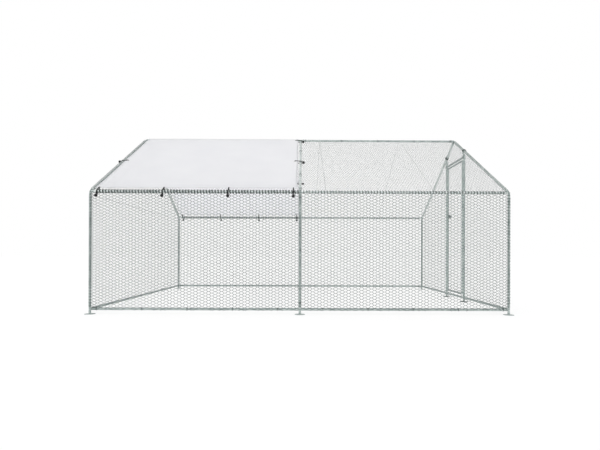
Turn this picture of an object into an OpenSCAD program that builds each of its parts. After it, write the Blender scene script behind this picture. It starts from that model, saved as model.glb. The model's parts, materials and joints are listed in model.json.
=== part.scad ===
// Walk-in chicken run: a gabled frame of plug-together tubes, hexagonal wire netting on the
// outside, a hinged door in the right gable and a weather cover tied over the left bay.
// Millimetres. +X runs along the run, the front faces -Y, +Z is up and the feet stand on Z = 0.

/* [Overall] */
// Length between the centres of the end posts
run_length = 4000; // [3000:50:6000]
// Depth between the centres of the front and back posts
run_depth = 3000; // [2400:50:4000]
// Height of the eave rails' centres
eave_height = 1170; // [1000:10:1500]
// Rise from the eave rails' centres to the ridge rail's centre
roof_rise = 880; // [700:5:1200]

/* [Frame tubes] */
// Outer diameter of the frame tubes
tube_d = 25; // [22:0.5:32]
// Wall of the frame tubes
tube_wall = 1; // [0.8:0.1:1.6]
// Radius of the bend in the eave and ridge connectors
bend_radius = 50; // [35:1:70]
// Straight length of a connector that shows before its tube begins
joint_shoulder = 10; // [4:1:20]
// Length of a connector arm inside a rafter or a post
arm_insertion = 150; // [90:5:220]
// Length of a connector arm inside a rail
rail_insertion = 44; // [36:1:60]
// Room between a rail's end and the side of the rib it meets
rail_end_gap = 2.5; // [1:0.5:6]
// Radial room between a connector arm and its tube
arm_clearance = 0.15; // [0.05:0.05:0.3]
// Wall of the connectors
arm_wall = 1.2; // [1:0.1:1.6]
// Rise of the ring that stops a tube on a connector
ring_rise = 0.4; // [0.3:0.05:0.6]
// Length of that ring over the bend
ring_back = 3; // [2:0.5:4]

/* [Feet] */
// Diameter of a foot's disc
foot_d = 100; // [90:1:140]
// Thickness of a foot's disc
foot_t = 2.5; // [1.5:0.5:5]
// Height of the base rails' centres
base_rail_height = 50; // [35:1:80]
// Length of a foot's spigot inside its post
foot_spigot_len = 90; // [50:5:150]

/* [Bolts and screws] */
// Diameter of the frame bolts
bolt_d = 6; // [5:0.5:8]
// Width of the bolts' heads and nuts across the flats
bolt_flats = 10; // [8:0.5:10]
// Height of a bolt's head
bolt_head_h = 4; // [3:0.5:6]
// Height of a nut
nut_h = 5; // [4:0.5:7]
// Radial room between a bolt or a rod and its hole in a tube
hole_clearance = 0.2; // [0.1:0.05:0.5]
// Diameter of the screws
screw_d = 5; // [4:0.5:6]
// Diameter of a screw's head
screw_head_d = 9; // [8:0.5:12]
// Height of a screw's head
screw_head_h = 3; // [2:0.5:4]
// Length of a screw past the wall it bites into
screw_bite = 6; // [3:0.5:8]

/* [Netting] */
// Thickness of the netting
net_t = 1.2; // [0.8:0.1:2]
// Width of a strand
strand_w = 6; // [4:0.5:10]
// Width of the selvedge along each edge
selvedge_w = 8; // [6:0.5:8]
// Size of a gap across its twisted sides
cell_pitch = 400; // [350:5:450]
// Distance from one column of gaps to the next
cell_run = 480; // [440:5:540]
// Length of a twisted side
cell_twist = 230; // [200:5:260]
// Room between a piece and the face it seats on
seat_gap = 0.3; // [0.2:0.05:0.4]

/* [Door frame] */
// Distance between the centres of the door posts
door_post_spacing = 630; // [540:5:700]
// Distance of the doorway's middle from the middle of the depth
door_shift = -40; // [-60:5:60]
// Drop to the lintel's centre from the rafters, where the lower of the door posts meets its own
lintel_drop = 72; // [72:1:200]
// Length over which a tube's end is pinched flat
pinch_len = 24; // [20:1:24]
// Thickness of a flattened tube end
tab_t = 3; // [2:0.5:4]
// Width of a flattened tube end
tab_w = 34; // [28:1:38]
// Length of a flattened end past its screw
tab_margin = 14; // [10:1:20]

/* [Door leaf] */
// Outer diameter of the leaf's tubes
door_tube_d = 20; // [18:0.5:25]
// Height of the leaf's bottom rail's centre
leaf_bottom = 95; // [90:1:160]
// Drop from the lintel's centre to the leaf's top rail's centre
leaf_top_drop = 36; // [34:1:120]
// Distance from the latch stile's centre to the latch post's centre
latch_gap = 55; // [52:1:64]
// Room left at a welded joint
weld_gap = 0.05; // [0.02:0.01:0.1]

/* [Hinges] */
// Diameter of the hinge rods
rod_d = 8; // [6:0.5:10]
// Radial running room between a hinge pin or a latch bolt and its bore
running_clearance = 0.05; // [0.03:0.01:0.1]
// Distance of a hinge from the leaf's nearer end
hinge_inset = 250; // [150:5:400]
// Bend radius of a hinge hook
hook_bend = 8; // [6:0.5:14]
// Length of a hinge hook's straight pin
hook_pin_len = 30; // [24:1:45]
// Height of a hinge eye
eye_h = 18; // [16:1:22]
// Outer diameter of a hinge eye
eye_d = 16; // [14:0.5:20]
// Width of the hinge nuts across the flats
rod_flats = 13; // [10:0.5:15]
// Height of a hinge nut
rod_nut_h = 6.5; // [5:0.5:8]
// Length of thread past a nut
thread_tail = 4; // [2:0.5:8]
// Room between a hinge eye and the nut beside it
eye_room = 3; // [1:0.5:6]

/* [Latch] */
// Height of the latch bolt
latch_height = 1090; // [900:10:1200]
// Diameter of the latch bolt
latch_bolt_d = 8; // [6:0.5:10]
// Thickness of the latch's plates
latch_plate_t = 2.5; // [2:0.5:4]
// Height of the latch's plate
latch_plate_h = 44; // [40:1:60]
// Height of the keeper's plate
keeper_plate_h = 40; // [38:1:50]
// Distance of the latch's screws from the bolt's height
latch_screw_z = 14.5; // [14:0.5:15]
// Length of each guide
guide_t = 10; // [6:0.5:12]
// Height of the guides and the keeper's loop
guide_h = 16; // [14:0.5:18]
// Distance from the latch stile's centre to the outer end of the guide beside it
guide_end = 20; // [19:0.5:22]
// Distance that the keeper reaches from its post's centre towards the door
keeper_reach = 17; // [15:0.5:20]
// Depth of the shot bolt in its keeper
latch_engagement = 14; // [8:0.5:20]
// Radial room between the bolt and its keeper
keeper_clearance = 0.35; // [0.3:0.05:0.6]
// Room between the bolt and the keeper's plate
bolt_standoff = 3; // [2:0.5:5]
// Length of the bolt's handle
handle_len = 36; // [30:1:50]

/* [Weather cover] */
// Thickness of the cover
cover_t = 1; // [0.6:0.1:1.6]
// Room between the rail bolts' heads and the cover's edge
cover_bolt_room = 2; // [1:0.5:20]
// Distance of a grommet's centre from the cover's edge
grommet_inset = 20; // [16:1:30]
// Bore of a grommet
grommet_bore = 10; // [8:0.5:12]
// Diameter of a grommet's flange
grommet_d = 20; // [18:0.5:24]
// Thickness of a grommet
grommet_t = 1; // [0.6:0.1:1.5]

/* [Ball bungees] */
// Number of bungees along each eave
eave_loops = 4; // [2:1:8]
// Diameter of the elastic cord
cord_d = 4; // [3:0.5:5]
// Diameter of a ball
ball_d = 24; // [20:0.5:26]
// Distance between the two cords where they enter a ball
ball_cord_spacing = 6; // [5:0.5:8]
// Depth of the cord's ends in a ball
ball_grip = 4; // [3:0.5:6]
// Radius of the cord's turn in its grommet
turn_radius = 6; // [5:0.5:8]
// Distance of the ridge bungees below the ridge, along the slope
ridge_loop_drop = 46; // [46:1:80]
// Angle by which the balls at the eaves hang below the line of the slope
eave_ball_turn = 25; // [0:1:30]
// Room around the cord where it passes through the netting
passage_room = 1.5; // [1:0.25:2]

/* [Hidden] */
$fn = 48;
// Overshoot of a cutting shape past the face it opens
cut = 1;
tube_r = tube_d / 2;
door_r = door_tube_d / 2;
arm_d = tube_d - 2 * tube_wall - 2 * arm_clearance;
arm_bore = arm_d - 2 * arm_wall;
rib_x = [-run_length / 2, 0, run_length / 2];
half_depth = run_depth / 2;
pitch = atan2(roof_rise, half_depth);
slope_length = norm([half_depth, roof_rise]);
ridge_height = eave_height + roof_rise;

eave_turn = 90 - pitch;
eave_tangent = bend_radius * tan(eave_turn / 2);
ridge_tangent = bend_radius * tan(pitch);
post_bottom = base_rail_height + tube_r + joint_shoulder;
post_top = eave_height - eave_tangent - joint_shoulder;
rafter_start = eave_tangent + joint_shoulder;
rafter_end = slope_length - ridge_tangent - joint_shoulder;
rafter_bolts = [rafter_start + arm_insertion / 2, rafter_end - arm_insertion / 2];
rail_start = tube_r + rail_end_gap;
rail_bolt = rail_start + rail_insertion / 2;
bolt_corner_r = bolt_flats / 2 / cos(30);
// Turn of each rib's rafter bolts from the slope's normal: the end ribs' heads point between the two nets
rib_bolt_turn = [-45, -90, 45];
// An eave rail's bolts point outwards, between the wall's net and the roof's
eave_bolt_turn = 90 - eave_turn / 2;

// Layers on the outside of a frame tube, as distances from the tube's centre
net_in = tube_r + seat_gap;
net_out = net_in + net_t;
cover_in = net_out + seat_gap;
cover_out = cover_in + cover_t;
least_gap_area = 8000;
// Steps of the cover's fold on each side of the ridge
ridge_steps = 6;

hinge_post_y = door_shift - door_post_spacing / 2;
latch_post_y = door_shift + door_post_spacing / 2;
lintel_height = min(rafter_height(hinge_post_y), rafter_height(latch_post_y)) - lintel_drop;
tab_reach = tube_r / cos(pitch) + tab_w / 2 * tan(pitch) + rail_end_gap;
tab_x = tube_r + weld_gap;

pin_from_post = tube_r + weld_gap + rod_nut_h + hook_bend;
stile_from_pin = eye_d / 2 + eye_room + rod_nut_h + weld_gap + door_r;
pin_y = hinge_post_y + pin_from_post;
hinge_stile_y = pin_y + stile_from_pin;
latch_stile_y = latch_post_y - latch_gap;
leaf_top = lintel_height - leaf_top_drop;
hinge_heights = [leaf_bottom + hinge_inset, leaf_top - hinge_inset];
eye_low = hook_bend + seat_gap;

// Latch, in distances from the latch stile's centre along Y and from the door's plane along X
latch_plate_x = door_r + seat_gap + net_t + seat_gap;
keeper_plate_x = net_out + seat_gap;
latch_axis_x = keeper_plate_x + latch_plate_t + latch_bolt_d / 2 + bolt_standoff;
guide_reach_x = latch_axis_x + latch_bolt_d;
tip_inset = 1;
tip_at_rest = guide_end - tip_inset;
latch_stroke = latch_gap - keeper_reach + latch_engagement - tip_at_rest;
handle_room = 0.5;
handle_start = guide_end - guide_t - latch_stroke - handle_room - latch_bolt_d / 2;
far_guide_end = handle_start - latch_bolt_d / 2 - handle_room;
plate_rim = 2;
bolt_tail = far_guide_end - guide_t - latch_stroke - plate_rim;

cover_edge = rail_bolt + bolt_corner_r + cover_bolt_room;
grommet_at = cover_edge + grommet_inset;
grommet_barrel_d = grommet_bore + 2 * grommet_t;
wrap_r = net_out + seat_gap + cord_d / 2;
turn_at = [grommet_at - turn_radius, (cover_in + cover_out) / 2];
turn_lean = atan2(turn_at.y, turn_at.x);
turn_spread = acos((wrap_r - turn_radius) / norm(turn_at));
eave_loop_first = rib_x[0] + grommet_at;
eave_loop_step = (rib_x[1] - rib_x[0] - 2 * grommet_at) / (eave_loops - 1);
passage_d = cord_d + 2 * passage_room;
cord_sides = 6;
cord_depth = sqrt(pow(ball_d / 2, 2) - pow(ball_cord_spacing / 2, 2)) - ball_grip;
// Where the cord from a rib to its ball crosses the netting, above and below the tube's centre
far_crossing = crossing(cord_leave(0), cord_enter(0), 1, (net_in + net_out) / 2);
side_crossing = crossing(-1 * flip(cord_leave(0)), -1 * flip(cord_enter(0)), 0, -(net_in + net_out) / 2);
loop_over = turn_lean + turn_spread;
loop_under = turn_lean - turn_spread;

galvanised = [0.70, 0.72, 0.74];
plated = [0.80, 0.80, 0.78];
wire = [0.62, 0.65, 0.65];
sheet_grey = [0.92, 0.93, 0.94];
black = [0.08, 0.08, 0.09];
elastic = [0.20, 0.20, 0.22];
brass = [0.75, 0.72, 0.62];

function unit(a) = [cos(a), sin(a)];
// Height of the rafters' centres at a distance from the middle of the depth
function rafter_height(y) = eave_height + (half_depth - abs(y)) * tan(pitch);
function flip(p) = [-p.x, p.y];

// Point of the line through a and b where coordinate k has the given value
function crossing(a, b, k, value) = a + (b - a) * (value - a[k]) / (b[k] - a[k]);

// The part of a convex polygon on the inner side of the line through a with inward normal n
function cut_side(poly, a, n) = [
  for (i = [0 : len(poly) - 1])
    let (p = poly[i], q = poly[(i + 1) % len(poly)], dp = (p - a) * n, dq = (q - a) * n)
      each concat(dp >= 0 ? [p] : [], dp * dq < 0 ? [p + (q - p) * dp / (dp - dq)] : [])
];

// The part of a convex polygon that lies at least inset inside a convex outline, both anticlockwise
function clip(poly, outline, inset, i = 0) =
  i == len(outline) || len(poly) < 3 ? poly :
  let (
    a = outline[i],
    b = outline[(i + 1) % len(outline)],
    n = [a.y - b.y, b.x - a.x] / norm(b - a)
  )
    clip(cut_side(poly, a + n * inset, n), outline, inset, i + 1);

function area(poly) =
  len(poly) < 3 ? 0 :
  let (last = len(poly) - 1)
    [for (i = [0 : last]) let (p = poly[i], q = poly[i == last ? 0 : i + 1]) p.x * q.y - q.x * p.y]
    * [for (p = poly) 0.5];

// One hexagon of the netting round the point c, with its twisted sides along x, or along y if turned
function hexagon(c, turned) =
  let (
    side = cell_run - cell_twist / 2,
    half = cell_pitch / 2,
    twist = cell_twist / 2,
    flat = [[side, 0], [twist, half], [-twist, half], [-side, 0], [-twist, -half], [twist, -half]]
  )
    turned ? [for (i = [5 : -1 : 0]) c + [flat[i].y, flat[i].x]] : [for (p = flat) c + p];

// The gaps of a net that fills an outline
function gaps(outline, turned) =
  let (
    low = [for (k = [0, 1]) min([for (p = outline) p[k]])],
    high = [for (k = [0, 1]) max([for (p = outline) p[k]])],
    middle = (low + high) / 2,
    columns = ceil((high - low)[turned ? 1 : 0] / 2 / cell_run),
    rows = ceil((high - low)[turned ? 0 : 1] / 2 / cell_pitch)
  )
    [
      for (i = [-columns : columns], j = [-rows - 1 : rows])
        let (
          along = i * cell_run,
          across = (j + (i % 2 == 0 ? 0.5 : 0)) * cell_pitch,
          cell = hexagon(middle + (turned ? [across, along] : [along, across]), turned),
          gap = clip(clip(cell, cell, strand_w / 2), outline, selvedge_w)
        )
          if (area(gap) > least_gap_area) gap
    ];

// Shared shapes

module tube(length, d = tube_d) {
  difference() {
    cylinder(d = d, h = length);
    translate([0, 0, -cut])
      cylinder(d = d - 2 * tube_wall, h = length + 2 * cut);
  }
}

// A frame tube along X between two places, at depth y and height z
module tube_x(from, to, y, z) {
  color(galvanised)
    translate([from, y, z])
      rotate([0, 90, 0])
        tube(to - from);
}

// A frame tube along Y between two places, at length x and height z
module tube_y(from, to, x, z) {
  color(galvanised)
    translate([x, from, z])
      rotate([-90, 0, 0])
        tube(to - from);
}

module bend(d, radius, angle) {
  rotate_extrude(angle = angle)
    translate([radius, 0])
      circle(d = d);
}

module on_side(side) {
  if (side > 0) {
    mirror([0, 1, 0])
      children();
  } else {
    children();
  }
}

// A roof slope's own frame: x along the eave, y up the slope, z out of the roof
module on_slope(side) {
  on_side(side)
    translate([0, -half_depth, eave_height])
      rotate([pitch, 0, 0])
        children();
}

module flat_sheet(outline, turned) {
  holes = gaps(outline, turned);
  points = concat(outline, [for (h = holes) each h]);
  rim = [for (i = [0 : len(outline) - 1]) i];
  rings = [
    for (k = 0, at = len(outline); k < len(holes); at = at + len(holes[k]), k = k + 1)
      [for (i = [0 : len(holes[k]) - 1]) at + i]
  ];
  linear_extrude(net_t)
    polygon(points, concat([rim], rings));
}

// A tube's pinched end: the tube stops at z = 0, and the tab's screw hole is reach past the pinch
module flattened_end(reach) {
  difference() {
    union() {
      hull() {
        translate([0, 0, -cut])
          cylinder(d = tube_d - tube_wall, h = cut, $fn = 32);
        translate([-tab_x - tab_t, -tab_w / 2, pinch_len])
          cube([tab_t, tab_w, cut]);
      }
      translate([-tab_x - tab_t, -tab_w / 2, pinch_len])
        cube([tab_t, tab_w, reach + tab_margin]);
    }
    translate([0, 0, pinch_len + reach])
      rotate([0, 90, 0])
        cylinder(d = screw_d + 2 * hole_clearance, h = 4 * tube_d, center = true);
  }
}

module hex_nut(d, flats, h) {
  difference() {
    cylinder(d = flats / cos(30), h = h, $fn = 6);
    translate([0, 0, -cut])
      cylinder(d = d + 2 * weld_gap, h = h + 2 * cut);
  }
}

// A screw along -Z whose head sits on z = 0
module screw(length) {
  cylinder(d = screw_head_d, h = screw_head_h);
  translate([0, 0, -length])
    cylinder(d = screw_d, h = length + screw_head_h / 2);
}

// Feet and posts

module foot(arms) {
  color(galvanised)
    difference() {
      union() {
        cylinder(d = foot_d, h = foot_t);
        cylinder(d = arm_d, h = post_bottom + foot_spigot_len);
        for (a = arms)
          translate([0, 0, base_rail_height])
            rotate([0, 90, a])
              cylinder(d = arm_d, h = rail_start + rail_insertion);
      }
      translate([0, 0, foot_t])
        cylinder(d = arm_bore, h = post_bottom + foot_spigot_len);
      for (a = arms)
        translate([0, 0, base_rail_height])
          rotate([0, 90, a])
            cylinder(d = arm_bore, h = rail_start + rail_insertion + cut);
    }
}

module post_feet() {
  for (side = [-1, 1])
    on_side(side) {
      translate([rib_x[0], -half_depth, 0])
        foot([0, 90]);
      translate([rib_x[1], -half_depth, 0])
        foot([0, 180]);
      translate([rib_x[2], -half_depth, 0])
        foot([90, 180]);
    }
}

module door_feet() {
  for (y = [hinge_post_y, latch_post_y])
    translate([rib_x[2], y, 0])
      foot([-90, 90]);
}

module post(rib, side) {
  color(galvanised)
    translate([rib_x[rib], side * half_depth, post_bottom])
      tube(post_top - post_bottom);
}

module door_post_shape(y) {
  tube_top = rafter_height(y) - tab_reach - pinch_len;
  translate([rib_x[2], y, post_bottom])
    tube(tube_top - post_bottom);
  translate([rib_x[2], y, tube_top])
    flattened_end(tab_reach);
}

module lintel_screw_holes() {
  for (y = [hinge_post_y, latch_post_y])
    translate([rib_x[2], y, lintel_height])
      rotate([0, -90, 0])
        cylinder(d = screw_d + 2 * hole_clearance, h = tube_d);
}

module hinge_post() {
  color(galvanised)
    difference() {
      door_post_shape(hinge_post_y);
      lintel_screw_holes();
      for (z = hinge_heights)
        translate([rib_x[2], hinge_post_y, z])
          rotate([90, 0, 0])
            cylinder(d = rod_d + 2 * hole_clearance, h = 2 * tube_d, center = true);
    }
}

module latch_post() {
  color(galvanised)
    difference() {
      door_post_shape(latch_post_y);
      lintel_screw_holes();
      keeper_screws_at()
        cylinder(d = screw_d + 2 * hole_clearance, h = 2 * tube_d, center = true);
    }
}

module door_lintel() {
  end = tab_w / 2 + rail_end_gap + pinch_len;
  color(galvanised)
    translate([rib_x[2], door_shift, lintel_height]) {
      translate([0, end - door_post_spacing / 2, 0])
        rotate([-90, 0, 0])
          tube(door_post_spacing - 2 * end);
      for (turn = [-90, 90])
        rotate([turn, 0, 0])
          translate([0, 0, door_post_spacing / 2 - end])
            flattened_end(end - pinch_len);
    }
}

// Connectors and rafters

module rail_arms(d, arms, skip, extra) {
  for (a = arms)
    rotate([0, 90 * a, 0])
      translate([0, 0, skip])
        cylinder(d = d, h = rail_start + rail_insertion + extra - skip);
}

module rail_bolt_places(arms, turn) {
  for (a = arms)
    translate([a * rail_bolt, 0, 0])
      rotate([turn, 0, 0])
        children();
}

module bolt_hole() {
  cylinder(d = bolt_d + 2 * hole_clearance, h = 2 * tube_d, center = true);
}

// Rails at each rib: arms towards -X, +X or both
function rib_arms(rib) = rib == 0 ? [1] : rib == 2 ? [-1] : [-1, 1];

// A connector's arm from the end of its bend, with the ring that its tube butts against
module plug_arm(d, extra) {
  cylinder(d = d, h = joint_shoulder + arm_insertion + extra);
  translate([0, 0, -ring_back])
    cylinder(d = d + 2 * ring_rise, h = ring_back + joint_shoulder - seat_gap);
}

module eave_connector_shape(d, arms, skip, extra) {
  translate([0, 0, -eave_tangent])
    rotate([180, 0, 0])
      plug_arm(d, extra);
  translate([0, bend_radius, -eave_tangent])
    rotate([90, 0, -90])
      bend(d, bend_radius, eave_turn);
  rotate([pitch, 0, 0])
    translate([0, eave_tangent, 0])
      rotate([-90, 0, 0])
        plug_arm(d, extra);
  rail_arms(d, arms, skip, extra);
}

module eave_connector(rib) {
  difference() {
    eave_connector_shape(arm_d, rib_arms(rib), 0, 0);
    eave_connector_shape(arm_bore, rib_arms(rib), arm_wall, cut);
    rail_bolt_places(rib_arms(rib), eave_bolt_turn)
      bolt_hole();
    rotate([pitch, 0, 0])
      translate([0, rafter_bolts[0], 0])
        rotate([0, rib_bolt_turn[rib], 0])
          bolt_hole();
  }
}

module eave_connectors() {
  color(galvanised)
    for (side = [-1, 1], rib = [0 : 2])
      on_side(side)
        translate([rib_x[rib], -half_depth, eave_height])
          eave_connector(rib);
}

module ridge_connector_shape(d, arms, skip, extra) {
  for (side = [-1, 1])
    on_side(side)
      rotate([pitch, 0, 0])
        translate([0, -ridge_tangent, 0])
          rotate([90, 0, 0])
            plug_arm(d, extra);
  translate([0, 0, -bend_radius / cos(pitch)])
    rotate([90, 0, -90])
      rotate([0, 0, 90 - pitch])
        bend(d, bend_radius, 2 * pitch);
  rail_arms(d, arms, skip, extra);
}

module ridge_connector(rib) {
  difference() {
    ridge_connector_shape(arm_d, rib_arms(rib), 0, 0);
    ridge_connector_shape(arm_bore, rib_arms(rib), arm_wall, cut);
    rail_bolt_places(rib_arms(rib), 0)
      bolt_hole();
    for (side = [-1, 1])
      on_side(side)
        rotate([pitch, 0, 0])
          translate([0, rafter_bolts[1] - slope_length, 0])
            rotate([0, rib_bolt_turn[rib], 0])
              bolt_hole();
  }
}

module ridge_connectors() {
  color(galvanised)
    for (rib = [0 : 2])
      translate([rib_x[rib], 0, ridge_height])
        ridge_connector(rib);
}

module rafter(rib, side) {
  color(galvanised)
    on_slope(side)
      translate([rib_x[rib], 0, 0])
        difference() {
          translate([0, rafter_start, 0])
            rotate([-90, 0, 0])
              tube(rafter_end - rafter_start);
          for (u = rafter_bolts)
            translate([0, u, 0])
              rotate([0, rib_bolt_turn[rib], 0])
                bolt_hole();
          if (rib == 2)
            translate([0, slope_length - abs(side < 0 ? hinge_post_y : latch_post_y) / cos(pitch), 0])
              rotate([0, -90, 0])
                cylinder(d = screw_d + 2 * hole_clearance, h = tube_d);
        }
}

// Rails along X are in two bays: 0 is the left one, 1 the right one

module base_rail(bay, side) {
  tube_x(rib_x[bay] + rail_start, rib_x[bay + 1] - rail_start, side * half_depth, base_rail_height);
}

module left_end_base_rail() {
  tube_y(-half_depth + rail_start, half_depth - rail_start, rib_x[0], base_rail_height);
}

module threshold_rail() {
  tube_y(hinge_post_y + rail_start, latch_post_y - rail_start, rib_x[2], base_rail_height);
}

module right_end_base_rails() {
  tube_y(-half_depth + rail_start, hinge_post_y - rail_start, rib_x[2], base_rail_height);
  tube_y(latch_post_y + rail_start, half_depth - rail_start, rib_x[2], base_rail_height);
}

// A rail in one bay that is bolted to a connector at each end
module bolted_rail(bay, turn) {
  color(galvanised)
    difference() {
      translate([rib_x[bay] + rail_start, 0, 0])
        rotate([0, 90, 0])
          tube(rib_x[bay + 1] - rib_x[bay] - 2 * rail_start);
      for (end = [0, 1])
        translate([rib_x[bay + end], 0, 0])
          rail_bolt_places([1 - 2 * end], turn)
            bolt_hole();
    }
}

module eave_rail(bay, side) {
  on_side(side)
    translate([0, -half_depth, eave_height])
      bolted_rail(bay, eave_bolt_turn);
}

module ridge_rail(bay) {
  translate([0, 0, ridge_height])
    bolted_rail(bay, 0);
}

// Netting

module wall_frame(side) {
  on_side(side)
    translate([0, -half_depth - net_in, 0])
      rotate([90, 0, 0])
        children();
}

module gable_frame(x) {
  translate([x, 0, 0])
    rotate([90, 0, 90])
      children();
}

function rectangle(x0, x1, y0, y1) = [[x0, y0], [x1, y0], [x1, y1], [x0, y1]];

module long_net(side) {
  color(wire)
    difference() {
      wall_frame(side)
        flat_sheet(rectangle(rib_x[0], rib_x[2], base_rail_height, eave_height), false);
      on_eave_loops(side)
        rotate([0, pitch, 0])
          translate([-(net_in + net_out) / 2, 0, eave_loop_crossing()])
            rotate([0, 90, 0])
              cylinder(d = passage_d, h = 4 * net_t, center = true);
    }
}

module roof_net(side) {
  color(wire)
    difference() {
      on_slope(side)
        translate([0, 0, net_in])
          flat_sheet(rectangle(rib_x[0], rib_x[2], 0, slope_length), true);
      on_loops(side)
        translate([grommet_at, 0, net_in - cut])
          cylinder(d = passage_d, h = net_t + 2 * cut);
      on_rib_loops(side, 1)
        translate([far_crossing.x, 0, net_in - cut])
          cylinder(d = 2 * passage_d, h = net_t + 2 * cut);
    }
}

module left_gable_net() {
  outline = [
    [-half_depth, base_rail_height], [half_depth, base_rail_height], [half_depth, eave_height],
    [0, ridge_height], [-half_depth, eave_height]
  ];
  color(wire)
    difference() {
      gable_frame(rib_x[0] - net_out)
        flat_sheet(outline, false);
      for (side = [-1, 1])
        on_rib_loops(side, 0)
          translate([side_crossing.x, 0, side_crossing.y])
            rotate([0, 90, 0])
              cylinder(d = passage_d, h = 4 * net_t, center = true);
    }
}

module right_gable_side_net(side) {
  inner = side < 0 ? hinge_post_y : latch_post_y;
  outer = side * half_depth;
  corners = [
    [outer, base_rail_height], [inner, base_rail_height], [inner, rafter_height(inner)], [outer, eave_height]
  ];
  outline = side < 0 ? corners : [for (i = [3 : -1 : 0]) corners[i]];
  color(wire)
    difference() {
      gable_frame(rib_x[2] + net_in)
        flat_sheet(outline, false);
      keeper_screws_at()
        cylinder(d = screw_d + 2 * passage_room, h = 2 * tube_d);
    }
}

module right_gable_top_net() {
  outline = [
    [hinge_post_y, lintel_height], [latch_post_y, lintel_height], [latch_post_y, rafter_height(latch_post_y)],
    [0, ridge_height], [hinge_post_y, rafter_height(hinge_post_y)]
  ];
  color(wire)
    gable_frame(rib_x[2] + net_in)
      flat_sheet(outline, false);
}

module door_net() {
  color(wire)
    difference() {
      gable_frame(rib_x[2] + door_r + seat_gap)
        flat_sheet(rectangle(hinge_stile_y, latch_stile_y, leaf_bottom, leaf_top), false);
      latch_screws_at()
        cylinder(d = screw_d + 2 * passage_room, h = 2 * tube_d, center = true);
    }
}

// Weather cover and its bungees

function slope_point(u, v) = [
  -half_depth + u * cos(pitch) - v * sin(pitch),
  eave_height + u * sin(pitch) + v * cos(pitch)
];

// Front to back along the cover at distance v above the rafters' centres
function cover_line(v) = [
  slope_point(cover_edge, v),
  for (k = [-ridge_steps : ridge_steps])
    let (a = k * pitch / ridge_steps)
      [0, ridge_height] + v * [sin(a), cos(a)],
  flip(slope_point(cover_edge, v))
];

module cover() {
  under = cover_line(cover_in);
  over = cover_line(cover_out);
  color(sheet_grey)
    difference() {
      gable_frame(rib_x[0] + cover_edge)
        linear_extrude(rib_x[1] - rib_x[0] - 2 * cover_edge)
          polygon(concat(under, [for (i = [len(over) - 1 : -1 : 0]) over[i]]));
      for (side = [-1, 1])
        on_loops(side)
          translate([grommet_at, 0, cover_in - cut])
            cylinder(d = grommet_barrel_d + 2 * weld_gap, h = cover_t + 2 * cut);
    }
}

// Places on the eave and on the ribs: local +X points from the tube to the grommet, +Z out of the roof
module on_eave_loops(side) {
  on_slope(side)
    for (i = [0 : eave_loops - 1])
      translate([eave_loop_first + i * eave_loop_step, 0, 0])
        rotate([0, 0, 90])
          children();
}

module on_rib_loops(side, rib) {
  mid = slope_length / 2;
  places = side < 0 && rib == 1 ? [mid, slope_length - ridge_loop_drop] : [mid];
  on_slope(side)
    for (u = places)
      translate([rib_x[rib], u, 0])
        rotate([0, 0, 180 * rib])
          children();
}

module on_loops(side) {
  on_eave_loops(side)
    children();
  for (rib = [0, 1])
    on_rib_loops(side, rib)
      children();
}

// A ball that hangs back round its tube by an angle stands further from it, to stay clear of the net
function ball_reach(turn) = (net_out + ball_d / 2 + seat_gap) / cos(pitch + turn);

function ball_spread(turn) = acos((wrap_r - ball_cord_spacing / 2) / ball_reach(turn));

// Ends of the straight cord from a tube to its ball, before the ball is turned
function cord_leave(turn) = wrap_r * unit(180 - ball_spread(turn));

function cord_enter(turn) =
  [-ball_reach(turn), 0]
  + ball_cord_spacing / 2 * unit(180 - ball_spread(turn))
  + cord_depth * unit(90 - ball_spread(turn));

function turned(p, angle) = [p.x * cos(angle) - p.y * sin(angle), p.x * sin(angle) + p.y * cos(angle)];

// Height, in the wall's own upright frame, where an eave bungee passes through the wall's net
function eave_loop_crossing() =
  let (
    turn = eave_ball_turn,
    leave = turned(mirrored(cord_leave(turn)), pitch + turn),
    enter = turned(mirrored(cord_enter(turn)), pitch + turn)
  )
    crossing(leave, enter, 0, -(net_in + net_out) / 2).y;

function mirrored(p) = [p.x, -p.y];

// Places along an arc of the cord, each a point and the cord's heading there, turning clockwise
function cord_arc(centre, radius, from, to, steps) = [
  for (k = [0 : steps])
    let (a = from + (to - from) * k / steps)
      [centre + radius * unit(a), a - 90]
];

// Along one loop: out of its ball, over its tube, through its grommet and back under the tube
function loop_places(turn) =
  let (spread = ball_spread(turn), enter = cord_enter(turn))
    concat(
      [[turned(enter, turn), 90 - spread + turn]],
      cord_arc([0, 0], wrap_r, 180 - spread + turn, loop_over, 2),
      cord_arc(turn_at, turn_radius, loop_over, loop_under, 6),
      cord_arc([0, 0], wrap_r, loop_under, spread - 180 + turn, 3),
      [[turned(mirrored(enter), turn), spread + 90 + turn]]
    );

module bungee_loop(turn) {
  places = loop_places(turn);
  last = len(places) - 1;
  n = cord_sides;
  points = [
    for (place = places, i = [0 : n - 1])
      let (a = 360 * i / n, side = cord_d / 2 * cos(a) * unit(place[1] + 90))
        [place[0].x + side.x, cord_d / 2 * sin(a), place[0].y + side.y]
  ];
  walls = [
    for (k = [0 : last - 1], i = [0 : n - 1])
      let (a = k * n + i, b = k * n + (i + 1) % n)
        each [[a, b, b + n], [a, b + n, a + n]]
  ];
  ends = [for (i = [1 : n - 2]) each [[0, i + 1, i], [last * n, last * n + i, last * n + i + 1]]];
  polyhedron(points, concat(walls, ends));
}

// One ball, with the two bores that grip the cord's ends and its seam turned away from them
module bungee_ball(turn) {
  enter = cord_enter(turn);
  rotate([0, -turn, 0])
    difference() {
      translate([-ball_reach(turn), 0, 0])
        rotate([0, 0, 180])
          sphere(d = ball_d);
      for (side = [-1, 1])
        translate([enter.x, 0, side * enter.y])
          rotate([0, 90 - side * (90 - ball_spread(turn)), 0])
            translate([0, 0, -seat_gap])
              cylinder(d = cord_d + 2 * weld_gap, h = ball_d);
    }
}

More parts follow.
